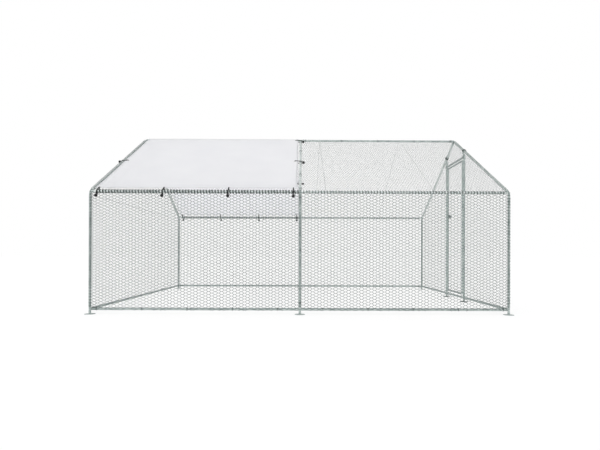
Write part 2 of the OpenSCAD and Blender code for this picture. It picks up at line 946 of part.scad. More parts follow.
module bungee_loops() {
  color(elastic)
    for (side = [-1, 1]) {
      on_eave_loops(side)
        bungee_loop(eave_ball_turn);
      for (rib = [0, 1])
        on_rib_loops(side, rib)
          bungee_loop(0);
    }
}

module bungee_balls() {
  color(black)
    for (side = [-1, 1]) {
      on_eave_loops(side)
        bungee_ball(eave_ball_turn);
      for (rib = [0, 1])
        on_rib_loops(side, rib)
          bungee_ball(0);
    }
}

module grommets() {
  flange = cover_out + weld_gap;
  color(brass)
    for (side = [-1, 1])
      on_loops(side)
        translate([grommet_at, 0, 0])
          difference() {
            union() {
              translate([0, 0, flange])
                cylinder(d = grommet_d, h = grommet_t);
              translate([0, 0, cover_in])
                cylinder(d = grommet_barrel_d, h = flange + grommet_t - cover_in);
            }
            translate([0, 0, cover_in - cut])
              cylinder(d = grommet_bore, h = flange + grommet_t - cover_in + 2 * cut);
          }
}

// Bolts, nuts and screws of the frame

module on_frame_bolts() {
  for (side = [-1, 1], rib = [0 : 2], u = rafter_bolts)
    on_slope(side)
      translate([rib_x[rib], u, 0])
        rotate([0, rib_bolt_turn[rib], 0])
          children();
  for (side = [-1, 1], rib = [0 : 2])
    on_side(side)
      translate([rib_x[rib], -half_depth, eave_height])
        rail_bolt_places(rib_arms(rib), eave_bolt_turn)
          children();
  for (rib = [0 : 2])
    translate([rib_x[rib], 0, ridge_height])
      rail_bolt_places(rib_arms(rib), 0)
        children();
}

module frame_bolts() {
  seat = tube_r + weld_gap;
  color(plated)
    on_frame_bolts() {
      translate([0, 0, seat])
        cylinder(d = bolt_flats / cos(30), h = bolt_head_h, $fn = 6);
      translate([0, 0, -seat - nut_h - bolt_head_h / 2])
        cylinder(d = bolt_d, h = 2 * seat + nut_h + bolt_head_h);
    }
}

module frame_nuts() {
  color(plated)
    on_frame_bolts()
      translate([0, 0, -tube_r - weld_gap - nut_h])
        hex_nut(bolt_d, bolt_flats, nut_h);
}

// The keeper's two screws: local +Z points out of the gable
module keeper_screws_at() {
  for (z = [-latch_screw_z, latch_screw_z])
    translate([rib_x[2], latch_post_y, latch_height + z])
      rotate([0, 90, 0])
        children();
}

module latch_screws_at() {
  for (z = [-latch_screw_z, latch_screw_z])
    translate([rib_x[2], latch_stile_y, latch_height + z])
      rotate([0, 90, 0])
        children();
}

module frame_screws() {
  tab_face = tab_x + tab_t + weld_gap;
  color(plated) {
    for (y = [hinge_post_y, latch_post_y], z = [rafter_height(y), lintel_height])
      translate([rib_x[2] - tab_face, y, z])
        rotate([0, -90, 0])
          screw(tab_face - tube_r + tube_wall + screw_bite);
    keeper_screws_at()
      translate([0, 0, keeper_plate_x + latch_plate_t + weld_gap])
        screw(keeper_plate_x + latch_plate_t - tube_r + tube_wall + screw_bite);
  }
}

// Door leaf and its hinges

module stile_shape(y) {
  translate([rib_x[2], y, leaf_bottom - door_r])
    tube(leaf_top - leaf_bottom + door_tube_d, door_tube_d);
}

module hinge_stile() {
  color(galvanised)
    difference() {
      stile_shape(hinge_stile_y);
      for (z = hinge_heights)
        translate([rib_x[2], hinge_stile_y, z + eye_low + eye_h / 2])
          rotate([90, 0, 0])
            cylinder(d = rod_d + 2 * hole_clearance, h = 2 * door_tube_d, center = true);
    }
}

module latch_stile() {
  color(galvanised)
    difference() {
      stile_shape(latch_stile_y);
      latch_screws_at()
        cylinder(d = screw_d + 2 * hole_clearance, h = door_tube_d);
    }
}

module leaf_rail(z) {
  color(galvanised)
    difference() {
      translate([rib_x[2], hinge_stile_y, z])
        rotate([-90, 0, 0])
          tube(latch_stile_y - hinge_stile_y, door_tube_d);
      for (y = [hinge_stile_y, latch_stile_y])
        translate([rib_x[2], y, z - door_tube_d])
          cylinder(d = door_tube_d + 2 * weld_gap, h = 2 * door_tube_d);
    }
}

module on_hinges(y) {
  for (z = hinge_heights)
    translate([rib_x[2], y, z])
      children();
}

module hinge_hooks() {
  tail = tube_r + weld_gap + rod_nut_h + thread_tail;
  color(plated)
    on_hinges(hinge_post_y) {
      translate([0, -tail, 0])
        rotate([-90, 0, 0])
          cylinder(d = rod_d, h = tail + pin_from_post - hook_bend);
      translate([0, pin_from_post - hook_bend, hook_bend])
        rotate([0, 90, 0])
          bend(rod_d, hook_bend, 90);
      translate([0, pin_from_post, hook_bend])
        cylinder(d = rod_d, h = hook_pin_len);
    }
}

module nut_pair(r) {
  for (turn = [-90, 90])
    rotate([turn, 0, 0])
      translate([0, 0, r + weld_gap])
        hex_nut(rod_d, rod_flats, rod_nut_h);
}

module hook_nuts() {
  color(plated)
    on_hinges(hinge_post_y)
      nut_pair(tube_r);
}

module hinge_eyes() {
  tail = stile_from_pin + door_r + weld_gap + rod_nut_h + thread_tail;
  color(plated)
    on_hinges(pin_y)
      translate([0, 0, eye_low])
        difference() {
          union() {
            cylinder(d = eye_d, h = eye_h);
            translate([0, 0, eye_h / 2])
              rotate([-90, 0, 0])
                cylinder(d = rod_d, h = tail);
          }
          translate([0, 0, -cut])
            cylinder(d = rod_d + 2 * running_clearance, h = eye_h + 2 * cut);
        }
}

module eye_nuts() {
  color(plated)
    on_hinges(hinge_stile_y)
      translate([0, 0, eye_low + eye_h / 2])
        nut_pair(door_r);
}

// Latch: a sliding bolt in two guides on the leaf, and a keeper on the latch post

module bolt_bore(y, clearance) {
  translate([rib_x[2] + latch_axis_x, y, latch_height])
    rotate([90, 0, 0])
      cylinder(d = latch_bolt_d + 2 * clearance, h = 4 * (latch_gap + latch_stroke), center = true);
}

module latch_plate() {
  far_end = far_guide_end - guide_t - plate_rim;
  color(plated)
    difference() {
      translate([rib_x[2] + latch_plate_x, latch_stile_y, latch_height]) {
        translate([0, far_end, -latch_plate_h / 2])
          cube([latch_plate_t, guide_end + plate_rim - far_end, latch_plate_h]);
        for (end = [far_guide_end, guide_end])
          translate([0, end - guide_t, -guide_h / 2])
            cube([guide_reach_x - latch_plate_x, guide_t, guide_h]);
      }
      bolt_bore(latch_stile_y, running_clearance);
      latch_screws_at()
        cylinder(d = screw_d + 2 * hole_clearance, h = guide_reach_x);
    }
}

module latch_keeper() {
  color(plated)
    difference() {
      translate([rib_x[2] + keeper_plate_x, latch_post_y, latch_height]) {
        translate([0, -keeper_reach, -keeper_plate_h / 2])
          cube([latch_plate_t, keeper_reach + tube_r, keeper_plate_h]);
        translate([0, -keeper_reach, -guide_h / 2])
          cube([guide_reach_x - keeper_plate_x, keeper_reach + tube_r, guide_h]);
      }
      bolt_bore(latch_post_y, keeper_clearance);
      keeper_screws_at()
        cylinder(d = screw_d + 2 * hole_clearance, h = guide_reach_x);
    }
}

module latch_screws() {
  color(plated)
    latch_screws_at()
      translate([0, 0, latch_plate_x + latch_plate_t + weld_gap])
        screw(latch_plate_x + latch_plate_t - door_r + tube_wall + screw_bite);
}

module latch_bolt() {
  color(plated)
    translate([rib_x[2] + latch_axis_x, latch_stile_y, latch_height]) {
      translate([0, bolt_tail, 0])
        rotate([-90, 0, 0])
          cylinder(d = latch_bolt_d, h = tip_at_rest - bolt_tail);
      translate([0, handle_start, -handle_len])
        cylinder(d = latch_bolt_d, h = handle_len);
      translate([0, handle_start, -handle_len])
        sphere(d = latch_bolt_d);
    }
}

// Every sub-part by name

post_feet();
door_feet();
post(0, -1);  // front_left_post
post(1, -1);  // front_middle_post
post(2, -1);  // front_right_post
post(0, 1);  // back_left_post
post(1, 1);  // back_middle_post
post(2, 1);  // back_right_post
hinge_post();
latch_post();
eave_connectors();
ridge_connectors();
rafter(0, -1);  // front_left_rafter
rafter(1, -1);  // front_middle_rafter
rafter(2, -1);  // front_right_rafter
rafter(0, 1);  // back_left_rafter
rafter(1, 1);  // back_middle_rafter
rafter(2, 1);  // back_right_rafter
base_rail(0, -1);  // front_left_base_rail
base_rail(1, -1);  // front_right_base_rail
base_rail(0, 1);  // back_left_base_rail
base_rail(1, 1);  // back_right_base_rail
left_end_base_rail();
right_end_base_rails();
threshold_rail();
eave_rail(0, -1);  // front_left_eave_rail
eave_rail(1, -1);  // front_right_eave_rail
eave_rail(0, 1);  // back_left_eave_rail
eave_rail(1, 1);  // back_right_eave_rail
ridge_rail(0);  // left_ridge_rail
ridge_rail(1);  // right_ridge_rail
door_lintel();
long_net(-1);  // front_net
long_net(1);  // back_net
roof_net(-1);  // front_roof_net
roof_net(1);  // back_roof_net
left_gable_net();
right_gable_side_net(-1);  // right_gable_front_net
right_gable_side_net(1);  // right_gable_back_net
right_gable_top_net();
door_net();
cover();
grommets();
bungee_loops();
bungee_balls();
frame_bolts();
frame_nuts();
frame_screws();
hinge_hooks();
hook_nuts();
hinge_stile();
latch_stile();
leaf_rail(leaf_top);  // door_top_rail
leaf_rail(leaf_bottom);  // door_bottom_rail
hinge_eyes();
eye_nuts();
latch_plate();
latch_screws();
latch_keeper();
latch_bolt();
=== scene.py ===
import json
import math

import bmesh
import bpy
from mathutils import Matrix, Vector
from mathutils.geometry import intersect_point_line


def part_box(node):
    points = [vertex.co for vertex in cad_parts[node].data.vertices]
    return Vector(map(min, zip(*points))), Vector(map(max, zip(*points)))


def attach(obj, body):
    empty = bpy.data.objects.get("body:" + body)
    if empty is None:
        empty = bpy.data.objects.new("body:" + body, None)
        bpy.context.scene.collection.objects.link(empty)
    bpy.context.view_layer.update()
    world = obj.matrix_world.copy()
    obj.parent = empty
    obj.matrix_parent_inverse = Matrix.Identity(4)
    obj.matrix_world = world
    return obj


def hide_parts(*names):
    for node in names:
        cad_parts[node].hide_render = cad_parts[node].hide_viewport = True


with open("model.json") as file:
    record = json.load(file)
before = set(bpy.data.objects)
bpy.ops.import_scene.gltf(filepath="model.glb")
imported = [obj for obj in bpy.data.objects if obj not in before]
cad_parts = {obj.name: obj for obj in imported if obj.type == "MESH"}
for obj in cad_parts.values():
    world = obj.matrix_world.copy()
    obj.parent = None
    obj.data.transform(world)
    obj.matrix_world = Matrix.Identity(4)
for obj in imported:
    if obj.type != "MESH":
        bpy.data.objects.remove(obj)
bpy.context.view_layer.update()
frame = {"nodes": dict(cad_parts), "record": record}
nodes = frame["nodes"]


def middle(node):
    """Centre of a CAD node's box."""
    low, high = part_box(node)
    return (low + high) / 2


# Sizes and places of the frame, from its CAD nodes
front_left, back_right = middle("front_left_post"), middle("back_right_post")
TUBE_RADIUS = (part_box("front_left_post")[1].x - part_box("front_left_post")[0].x) / 2
LEFT_X, MIDDLE_X, RIGHT_X = front_left.x, middle("front_middle_post").x, back_right.x
FRONT_Y, BACK_Y = front_left.y, back_right.y
BASE_Z = middle("front_left_base_rail").z
EAVE_Z = middle("front_left_eave_rail").z
RIDGE_Z = middle("left_ridge_rail").z
HALF_DEPTH = (BACK_Y - FRONT_Y) / 2
SLOPE = math.hypot(HALF_DEPTH, RIDGE_Z - EAVE_Z)
PITCH = math.atan2(RIDGE_Z - EAVE_Z, HALF_DEPTH)
HINGE_POST_Y, LATCH_POST_Y = middle("hinge_post").y, middle("latch_post").y
LINTEL_Z = middle("door_lintel").z
HINGE_MEET_Z, LATCH_MEET_Z = (RIDGE_Z - abs(y) * math.tan(PITCH) for y in (HINGE_POST_Y, LATCH_POST_Y))
NET_OFFSET = FRONT_Y - middle("front_net").y
DOOR_NET_X = middle("door_net").x
COVER_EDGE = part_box("cover")[0].x - LEFT_X

# Hexagonal netting: its cells have their real size. The real wire is 0.9 mm thick, which is lost between the
# pixels, so it is drawn thicker, most of all on the front, where the photograph shows it strongly
NET_PITCH = 0.028
NET_COLUMN = 0.031
NET_TWIST = 0.013
FRONT_WIRE = 0.0033
WIRE = 0.0016
COVERED_WIRE = 0.001
SEAM_WIRE = 0.002
WRAP_WIRE = 0.003
DOOR_WRAP_WIRE = 0.0014
# Two wires twisted together are this much thicker than one
TWIST_SWELL = 0.45
# To find which wires lie inside an outline, rays start this far above it and walls reach this far from it
TEST_HEIGHT = 0.5
WALL_HEIGHT = 0.01
# Faces round a front wire, which shows most, round the other nets' wires and round wire ends
FRONT_WIRE_SIDES, WIRE_SIDES, WRAP_SIDES = 4, 3, 4
# Cells that the lattice has beyond those that fit, before it is cut to its outline
SPARE_CELLS = 3
# A coil's points in each turn, and how far along the tube each turn goes
COIL_STEPS = 9
TURN_STEP = 0.0036

# Camera, fitted to the photograph's lines: 600 by 450 pixels, optical centre and focal length in pixels
IMAGE_WIDTH, IMAGE_HEIGHT = 600, 450
OPTICAL_CENTRE = (303.5, 252.4)
FOCAL_PIXELS = 434.0
SENSOR_WIDTH = 36
CAMERA_PLACE = Vector((0.0124, FRONT_Y - 4.1466, 0.5822))
CAMERA_TILT, CAMERA_ROLL, CAMERA_YAW = 0.0027, 0.0033, -0.0051

# A darkened foot is darker up to this height
GROUND_DARK_HEIGHT = 0.008
# Widths of the zinc's cloudy patches and of the cover's faint stains
CLOUD_MM, STAIN_MM = 111, 333
# A wave texture's bands at a scale of 1 are this far apart
WAVE_PERIOD = math.pi / 10
# The zinc's grain, the balls' grain and the strands are drawn two to four times as coarse as the real ones,
# so that they show
ZINC_GRAIN_MM, BALL_GRAIN_MM = 1.43, 0.8
SLEEVE_STRAND_MM, THREAD_STRAND_MM = 1.6, 0.8
# The tapes of the cover's weave have their real width
COVER_TAPE_MM = 2.5


def linear(hex_colour):
    """An sRGB hex colour as linear RGBA."""
    parts = [int(hex_colour[i:i + 2], 16) / 255 for i in (1, 3, 5)]
    return [c / 12.92 if c <= 0.04045 else ((c + 0.055) / 1.055) ** 2.4 for c in parts] + [1.0]


def add(tree, kind, inputs=(), **settings):
    """Adds a node with its settings and its constants or links, and returns its outputs."""
    node = tree.nodes.new(kind)
    for name, value in settings.items():
        setattr(node, name, value)
    pairs = inputs.items() if isinstance(inputs, dict) else enumerate(inputs)
    for name, value in pairs:
        for source in value if isinstance(value, list) and name == "Geometry" else [value]:
            if isinstance(source, bpy.types.NodeSocket):
                tree.links.new(source, node.inputs[name])
            else:
                node.inputs[name].default_value = source
    return node.outputs


def material(name):
    """A new material with an empty tree, and that tree."""
    made = bpy.data.materials.new(name)
    made.use_nodes = True
    made.node_tree.nodes.clear()
    return made, made.node_tree


def surface(tree, bsdf_inputs):
    """Ends a material's tree in a Principled BSDF."""
    bsdf = add(tree, "ShaderNodeBsdfPrincipled", bsdf_inputs)
    add(tree, "ShaderNodeOutputMaterial", {"Surface": bsdf[0]})


def galvanised_steel(name, dark, light, spangle_mm, roughness, metallic, ground_dark=None):
    """Hot-dip galvanised steel: dull zinc with spangle and cloudy patches, and darker towards the ground if a
    colour is given for it.
    """
    made, tree = material(name)
    place = add(tree, "ShaderNodeTexCoord")["Object"]
    spangle = add(tree, "ShaderNodeTexVoronoi", {"Vector": place, "Scale": 1000 / spangle_mm})
    cloud = add(tree, "ShaderNodeTexNoise", {"Vector": place, "Scale": 1000 / CLOUD_MM, "Detail": 4.0})
    crystals = add(tree, "ShaderNodeSeparateColor", [spangle["Color"]])["Red"]
    mixed = add(tree, "ShaderNodeMix", {"Factor": 0.5, 2: crystals, 3: cloud["Fac"]})[0]
    colour = add(tree, "ShaderNodeValToRGB", [mixed])
    ramp = tree.nodes[-1].color_ramp
    ramp.elements[0].position, ramp.elements[0].color = 0.3, linear(dark)
    ramp.elements[1].position, ramp.elements[1].color = 0.7, linear(light)
    shade = colour["Color"]
    if ground_dark:
        # Darker towards the ground, up to a ragged height
        height = add(tree, "ShaderNodeSeparateXYZ", [place])["Z"]
        ragged = add(tree, "ShaderNodeMath", [cloud["Fac"], GROUND_DARK_HEIGHT], operation="MULTIPLY")[0]
        undarkened = add(tree, "ShaderNodeMapRange", {"Value": height, 1: ragged, 2: GROUND_DARK_HEIGHT})[0]
        shade = add(tree, "ShaderNodeMix", {"Factor": undarkened, "A": linear(ground_dark), "B": shade},
                    data_type="RGBA")["Result"]
    rough = add(tree, "ShaderNodeMapRange", {"Value": crystals, 3: roughness - 0.08, 4: roughness + 0.1})[0]
    grain = add(tree, "ShaderNodeTexNoise", {"Vector": place, "Scale": 1000 / ZINC_GRAIN_MM, "Detail": 2.0})
    bump = add(tree, "ShaderNodeBump", {"Strength": 0.15, "Distance": 0.0004, "Height": grain["Fac"]})[0]
    surface(tree, {"Base Color": shade, "Metallic": metallic, "Roughness": rough, "Normal": bump})
    return made


def moulded_plastic(name, colour, grain_mm):
    """Injection-moulded polypropylene: near-black, matte, with the fine grain of its mould."""
    made, tree = material(name)
    place = add(tree, "ShaderNodeTexCoord")["Object"]
    grain = add(tree, "ShaderNodeTexNoise", {"Vector": place, "Scale": 1000 / grain_mm, "Detail": 3.0})["Fac"]
    rough = add(tree, "ShaderNodeMapRange", {"Value": grain, 3: 0.5, 4: 0.7})[0]
    bump = add(tree, "ShaderNodeBump", {"Strength": 0.2, "Distance": 0.0002, "Height": grain})[0]
    surface(tree, {"Base Color": linear(colour), "Roughness": rough, "IOR": 1.49, "Normal": bump})
    return made


def laid_polyester(name, colour, fleck, strand_mm):
    """Polyester strands laid across each other, as elastic's sleeve or thread: dull, with paler crossings."""
    made, tree = material(name)
    place = add(tree, "ShaderNodeTexCoord")["Object"]
    strands = [
        add(tree, "ShaderNodeTexWave", {"Vector": place, "Scale": WAVE_PERIOD * 1000 / strand_mm},
            bands_direction=direction)["Fac"]
        for direction in ("DIAGONAL", "X")
    ]
    braid = add(tree, "ShaderNodeMath", strands, operation="MULTIPLY")[0]
    shade = add(tree, "ShaderNodeMix", {"Factor": braid, "A": linear(colour), "B": linear(fleck)},
                data_type="RGBA")["Result"]
    bump = add(tree, "ShaderNodeBump", {"Strength": 0.6, "Distance": 0.0003, "Height": braid})[0]
    surface(tree, {"Base Color": shade, "Roughness": 0.75, "Normal": bump})
    return made


def woven_polythene(name, dark, light, tape_mm, translucent_share):
    """Coated polythene tarpaulin: off-white, faintly woven, with daylight coming through to its underside."""
    made, tree = material(name)
    cloth = add(tree, "ShaderNodeUVMap", uv_map="cloth")[0]
    tapes = [
        add(tree, "ShaderNodeTexWave", {"Vector": cloth, "Scale": WAVE_PERIOD * 1000 / tape_mm},
            bands_direction=direction)["Fac"]
        for direction in ("X", "Y")
    ]
    weave = add(tree, "ShaderNodeMath", tapes, operation="MULTIPLY")[0]
    stain = add(tree, "ShaderNodeTexNoise", {"Vector": cloth, "Scale": 1000 / STAIN_MM, "Detail": 3.0})["Fac"]
    shade = add(tree, "ShaderNodeMix", {"Factor": stain, "A": linear(dark), "B": linear(light)},
                data_type="RGBA")["Result"]
    bump = add(tree, "ShaderNodeBump", {"Strength": 0.25, "Distance": 0.0003, "Height": weave})[0]
    coated = add(tree, "ShaderNodeBsdfPrincipled",
                 {"Base Color": shade, "Roughness": 0.45, "IOR": 1.5, "Normal": bump})[0]
    passing = add(tree, "ShaderNodeBsdfTranslucent", {"Color": shade, "Normal": bump})[0]
    look = add(tree, "ShaderNodeMixShader", [translucent_share, coated, passing])[0]
    add(tree, "ShaderNodeOutputMaterial", {"Surface": look})
    return made


tube_zinc = galvanised_steel(
    "galvanised_tube", "#7a8583", "#b0b8b6", spangle_mm=9, roughness=0.42, metallic=0.5)
# Two lighter copies of the tube zinc, with painted light in their colour: the tubes that carry them look more
# brightly lit
half_lit_tube_zinc = galvanised_steel(
    "mid_galvanised_tube", "#8f9a98", "#c0c8c6", spangle_mm=9, roughness=0.42, metallic=0.45)
lit_tube_zinc = galvanised_steel(
    "pale_galvanised_tube", "#b6c0be", "#e0e5e3", spangle_mm=9, roughness=0.42, metallic=0.4)
foot_zinc = galvanised_steel(
    "scuffed_foot_zinc", "#8f9997", "#bcc4c2", spangle_mm=6, roughness=0.6, metallic=0.35)
# The door's feet: the same zinc, darker towards the ground
ground_darkened_zinc = galvanised_steel(
    "soiled_foot_zinc", "#8f9997", "#bcc4c2", spangle_mm=6, roughness=0.6, metallic=0.35, ground_dark="#3a4240")
wire_zinc = galvanised_steel(
    "zinc_wire", "#313f3c", "#4a5a55", spangle_mm=4, roughness=0.7, metallic=0.2)
wrap_zinc = galvanised_steel(
    "zinc_wire_ends", "#26302e", "#3c4745", spangle_mm=4, roughness=0.55, metallic=0.2)
bright_zinc = galvanised_steel(
    "plated_fasteners", "#9aa0a2", "#c3c7c6", spangle_mm=3, roughness=0.32, metallic=0.85)
grommet_metal = galvanised_steel(
    "pressed_aluminium", "#b4b4ae", "#d0d0ca", spangle_mm=5, roughness=0.35, metallic=0.9)
black_plastic = moulded_plastic("moulded_black_balls", "#060607", BALL_GRAIN_MM)
elastic = laid_polyester("braided_elastic", "#070708", "#1c1d1e", SLEEVE_STRAND_MM)
sewing_thread = laid_polyester("polyester_thread", "#d9dadc", "#eeeff0", THREAD_STRAND_MM)
polythene = woven_polythene(
    "woven_polythene_sheet", "#f0f0f2", "#f7f7f8", COVER_TAPE_MM, translucent_share=0.7)

SLOT_FINISHES = {
    "galvanised_tube": tube_zinc,
    "net_wire": wire_zinc,
    "grommet_metal": grommet_metal,
    "elastic_cord": elastic,
    "ball_plastic": black_plastic,
    "plated_hardware": bright_zinc,
}
for part in frame["record"]["subparts"]:
    finish = SLOT_FINISHES.get(part["material_slot"])
    if finish:
        nodes[part["node"]].data.materials.clear()
        nodes[part["node"]].data.materials.append(finish)
# Some tubes get lighter copies of the same zinc, as painted light: the rafters and eave rails the most, the
# ridge rails, door posts and stiles less. The feet are scuffed by the ground, and the door's feet are darker
# towards the ground
TUBE_BATCHES = {
    ("_rafter", "_eave_rail"): lit_tube_zinc,
    ("_ridge_rail", "hinge_post", "latch_post", "_stile"): half_lit_tube_zinc,
    ("post_feet",): foot_zinc,
    ("door_feet",): ground_darkened_zinc,
}
for name, node in nodes.items():
    for endings, finish in TUBE_BATCHES.items():
        if name.endswith(endings):
            node.data.materials[0] = finish


def netting_tree():
    """Hexagonal netting that fills the outline face, with its twisted sides along x."""
    tree = bpy.data.node_groups.new("hexagonal_netting", "GeometryNodeTree")
    tree.interface.new_socket("Outline", in_out="INPUT", socket_type="NodeSocketGeometry")
    for name in ("Pitch", "Column Spacing", "Twist Length", "Wire Diameter"):
        tree.interface.new_socket(name, in_out="INPUT", socket_type="NodeSocketFloat")
    tree.interface.new_socket("Wire Sides", in_out="INPUT", socket_type="NodeSocketInt")
    tree.interface.new_socket("Wire", in_out="INPUT", socket_type="NodeSocketMaterial")
    tree.interface.new_socket("Netting", in_out="OUTPUT", socket_type="NodeSocketGeometry")
    given = add(tree, "NodeGroupInput")
    pitch, column, twist = given["Pitch"], given["Column Spacing"], given["Twist Length"]

    # One point for each cell and a few to spare, with every second column half a pitch higher
    box = add(tree, "GeometryNodeBoundBox", [given["Outline"]])
    size = add(tree, "ShaderNodeVectorMath", [box["Max"], box["Min"]], operation="SUBTRACT")[0]
    span = add(tree, "ShaderNodeSeparateXYZ", [size])
    counts = []
    for extent, step in ((span["X"], column), (span["Y"], pitch)):
        fitted = add(tree, "ShaderNodeMath", [extent, step], operation="DIVIDE")[0]
        counts.append(add(tree, "ShaderNodeMath", [fitted, SPARE_CELLS], operation="ADD")[0])
    columns, rows = (add(tree, "ShaderNodeMath", [c], operation="CEIL")[0] for c in counts)
    extents = []
    for count, step in ((columns, column), (rows, pitch)):
        one_less = add(tree, "ShaderNodeMath", [step, -1.0], operation="MULTIPLY")[0]
        extents.append(add(tree, "ShaderNodeMath", [count, step, one_less], operation="MULTIPLY_ADD")[0])
    width, height = extents
    grid = add(tree, "GeometryNodeMeshGrid",
               {"Size X": width, "Size Y": height, "Vertices X": columns, "Vertices Y": rows})["Mesh"]
    index = add(tree, "GeometryNodeInputIndex")[0]
    in_column = add(tree, "ShaderNodeMath", [index, rows], operation="DIVIDE")[0]
    column_number = add(tree, "ShaderNodeMath", [in_column], operation="FLOOR")[0]
    odd = add(tree, "ShaderNodeMath", [column_number, 2.0], operation="MODULO")[0]
    half_pitch = add(tree, "ShaderNodeMath", [pitch, 0.5], operation="MULTIPLY")[0]
    raised = add(tree, "ShaderNodeMath", [odd, half_pitch], operation="MULTIPLY")[0]
    shift = add(tree, "ShaderNodeCombineXYZ", {"Y": raised})[0]
    both = add(tree, "ShaderNodeVectorMath", [box["Min"], box["Max"]], operation="ADD")[0]
    centre = add(tree, "ShaderNodeVectorMath", {0: both, "Scale": 0.5}, operation="SCALE")[0]
    move = add(tree, "ShaderNodeVectorMath", [centre, shift], operation="ADD")[0]
    places = add(tree, "GeometryNodeSetPosition", {"Geometry": grid, "Offset": move})[0]

    # A cell's three wires: its upper twist and the two that leave the twist's right end
    half_twist = add(tree, "ShaderNodeMath", [twist, 0.5], operation="MULTIPLY")[0]
    back_twist = add(tree, "ShaderNodeMath", [twist, -0.5], operation="MULTIPLY")[0]
    next_twist = add(tree, "ShaderNodeMath", [column, half_twist], operation="SUBTRACT")[0]
    left = add(tree, "ShaderNodeCombineXYZ", {"X": back_twist, "Y": half_pitch})[0]
    right = add(tree, "ShaderNodeCombineXYZ", {"X": half_twist, "Y": half_pitch})[0]
    up = add(tree, "ShaderNodeCombineXYZ", {"X": next_twist, "Y": pitch})[0]
    down = add(tree, "ShaderNodeCombineXYZ", {"X": next_twist})[0]
    twist_line, up_line, down_line = (
        add(tree, "GeometryNodeMeshLine", {"Count": 2, "Start Location": a, "Offset": b},
            mode="END_POINTS")["Mesh"]
        for a, b in ((left, right), (right, up), (right, down))
    )
    twisted = add(tree, "GeometryNodeStoreNamedAttribute",
                  {"Geometry": twist_line, "Name": "twisted", "Value": 1.0},
                  data_type="FLOAT", domain="POINT")[0]
    cell = add(tree, "GeometryNodeJoinGeometry", {"Geometry": [twisted, up_line, down_line]})[0]
    cells = add(tree, "GeometryNodeInstanceOnPoints", {"Points": places, "Instance": cell})[0]
    lattice = add(tree, "GeometryNodeRealizeInstances", [cells])[0]

    # Wires outside the outline go, and those that cross it end on it
    position = add(tree, "GeometryNodeInputPosition")[0]
    above = add(tree, "ShaderNodeVectorMath", [position, (0, 0, TEST_HEIGHT)], operation="ADD")[0]
    inside = add(tree, "GeometryNodeRaycast",
                 {"Target Geometry": given["Outline"], "Source Position": above,
                  "Ray Direction": (0, 0, -1), "Ray Length": 2 * TEST_HEIGHT})["Is Hit"]
    parity = add(tree, "ShaderNodeMath", [index, 2.0], operation="MODULO")[0]
    other_step = add(tree, "ShaderNodeMath", [parity, -2.0, 1.0], operation="MULTIPLY_ADD")[0]
    other = add(tree, "ShaderNodeMath", [index, other_step], operation="ADD")[0]
    other_inside = add(tree, "GeometryNodeSampleIndex",
                       {"Geometry": lattice, "Value": inside, "Index": other}, data_type="BOOLEAN")[0]
    gone = add(tree, "FunctionNodeBooleanMath", [inside, other_inside], operation="NOR")[0]
    kept = add(tree, "GeometryNodeDeleteGeometry", {"Geometry": lattice, "Selection": gone})[0]
    wall_low = add(tree, "GeometryNodeSetPosition",
                   {"Geometry": given["Outline"], "Offset": (0, 0, -WALL_HEIGHT)})[0]
    walls = add(tree, "GeometryNodeExtrudeMesh",
                {"Mesh": wall_low, "Offset": (0, 0, 1), "Offset Scale": 2 * WALL_HEIGHT}, mode="EDGES")[0]
    partner = add(tree, "GeometryNodeSampleIndex",
                  {"Geometry": kept, "Value": position, "Index": other}, data_type="FLOAT_VECTOR")[0]
    partner_inside = add(tree, "GeometryNodeSampleIndex",
                         {"Geometry": kept, "Value": inside, "Index": other}, data_type="BOOLEAN")[0]
    reach = add(tree, "ShaderNodeVectorMath", [position, partner], operation="SUBTRACT")[0]
    length = add(tree, "ShaderNodeVectorMath", [reach], operation="LENGTH")["Value"]
    edge = add(tree, "GeometryNodeRaycast",
               {"Target Geometry": walls, "Source Position": partner,
                "Ray Direction": reach, "Ray Length": length})
    crossing = add(tree, "FunctionNodeBooleanMath", [partner_inside, inside], operation="NIMPLY")[0]
    cut = add(tree, "FunctionNodeBooleanMath", [crossing, edge["Is Hit"]], operation="AND")[0]
    trimmed = add(tree, "GeometryNodeSetPosition",
                  {"Geometry": kept, "Selection": cut, "Position": edge["Hit Position"]})[0]

    # Wire round each line, thicker where two wires are twisted
    lines = add(tree, "GeometryNodeMeshToCurve", [trimmed])[0]
    is_twisted = add(tree, "GeometryNodeInputNamedAttribute", {"Name": "twisted"}, data_type="FLOAT")[0]
    thickness = add(tree, "ShaderNodeMath", [is_twisted, TWIST_SWELL, 1.0], operation="MULTIPLY_ADD")[0]
    sized = add(tree, "GeometryNodeSetCurveRadius", {"Curve": lines, "Radius": thickness})[0]
    radius = add(tree, "ShaderNodeMath", [given["Wire Diameter"], 0.5], operation="MULTIPLY")[0]
    profile = add(tree, "GeometryNodeCurvePrimitiveCircle",
                  {"Resolution": given["Wire Sides"], "Radius": radius})["Curve"]
    wire = add(tree, "GeometryNodeCurveToMesh",
               {"Curve": sized, "Profile Curve": profile, "Fill Caps": True})[0]
    solid = add(tree, "GeometryNodeRealizeInstances", [wire])[0]
    done = add(tree, "GeometryNodeSetMaterial", {"Geometry": solid, "Material": given["Wire"]})[0]
    add(tree, "NodeGroupOutput", [done])
    return tree


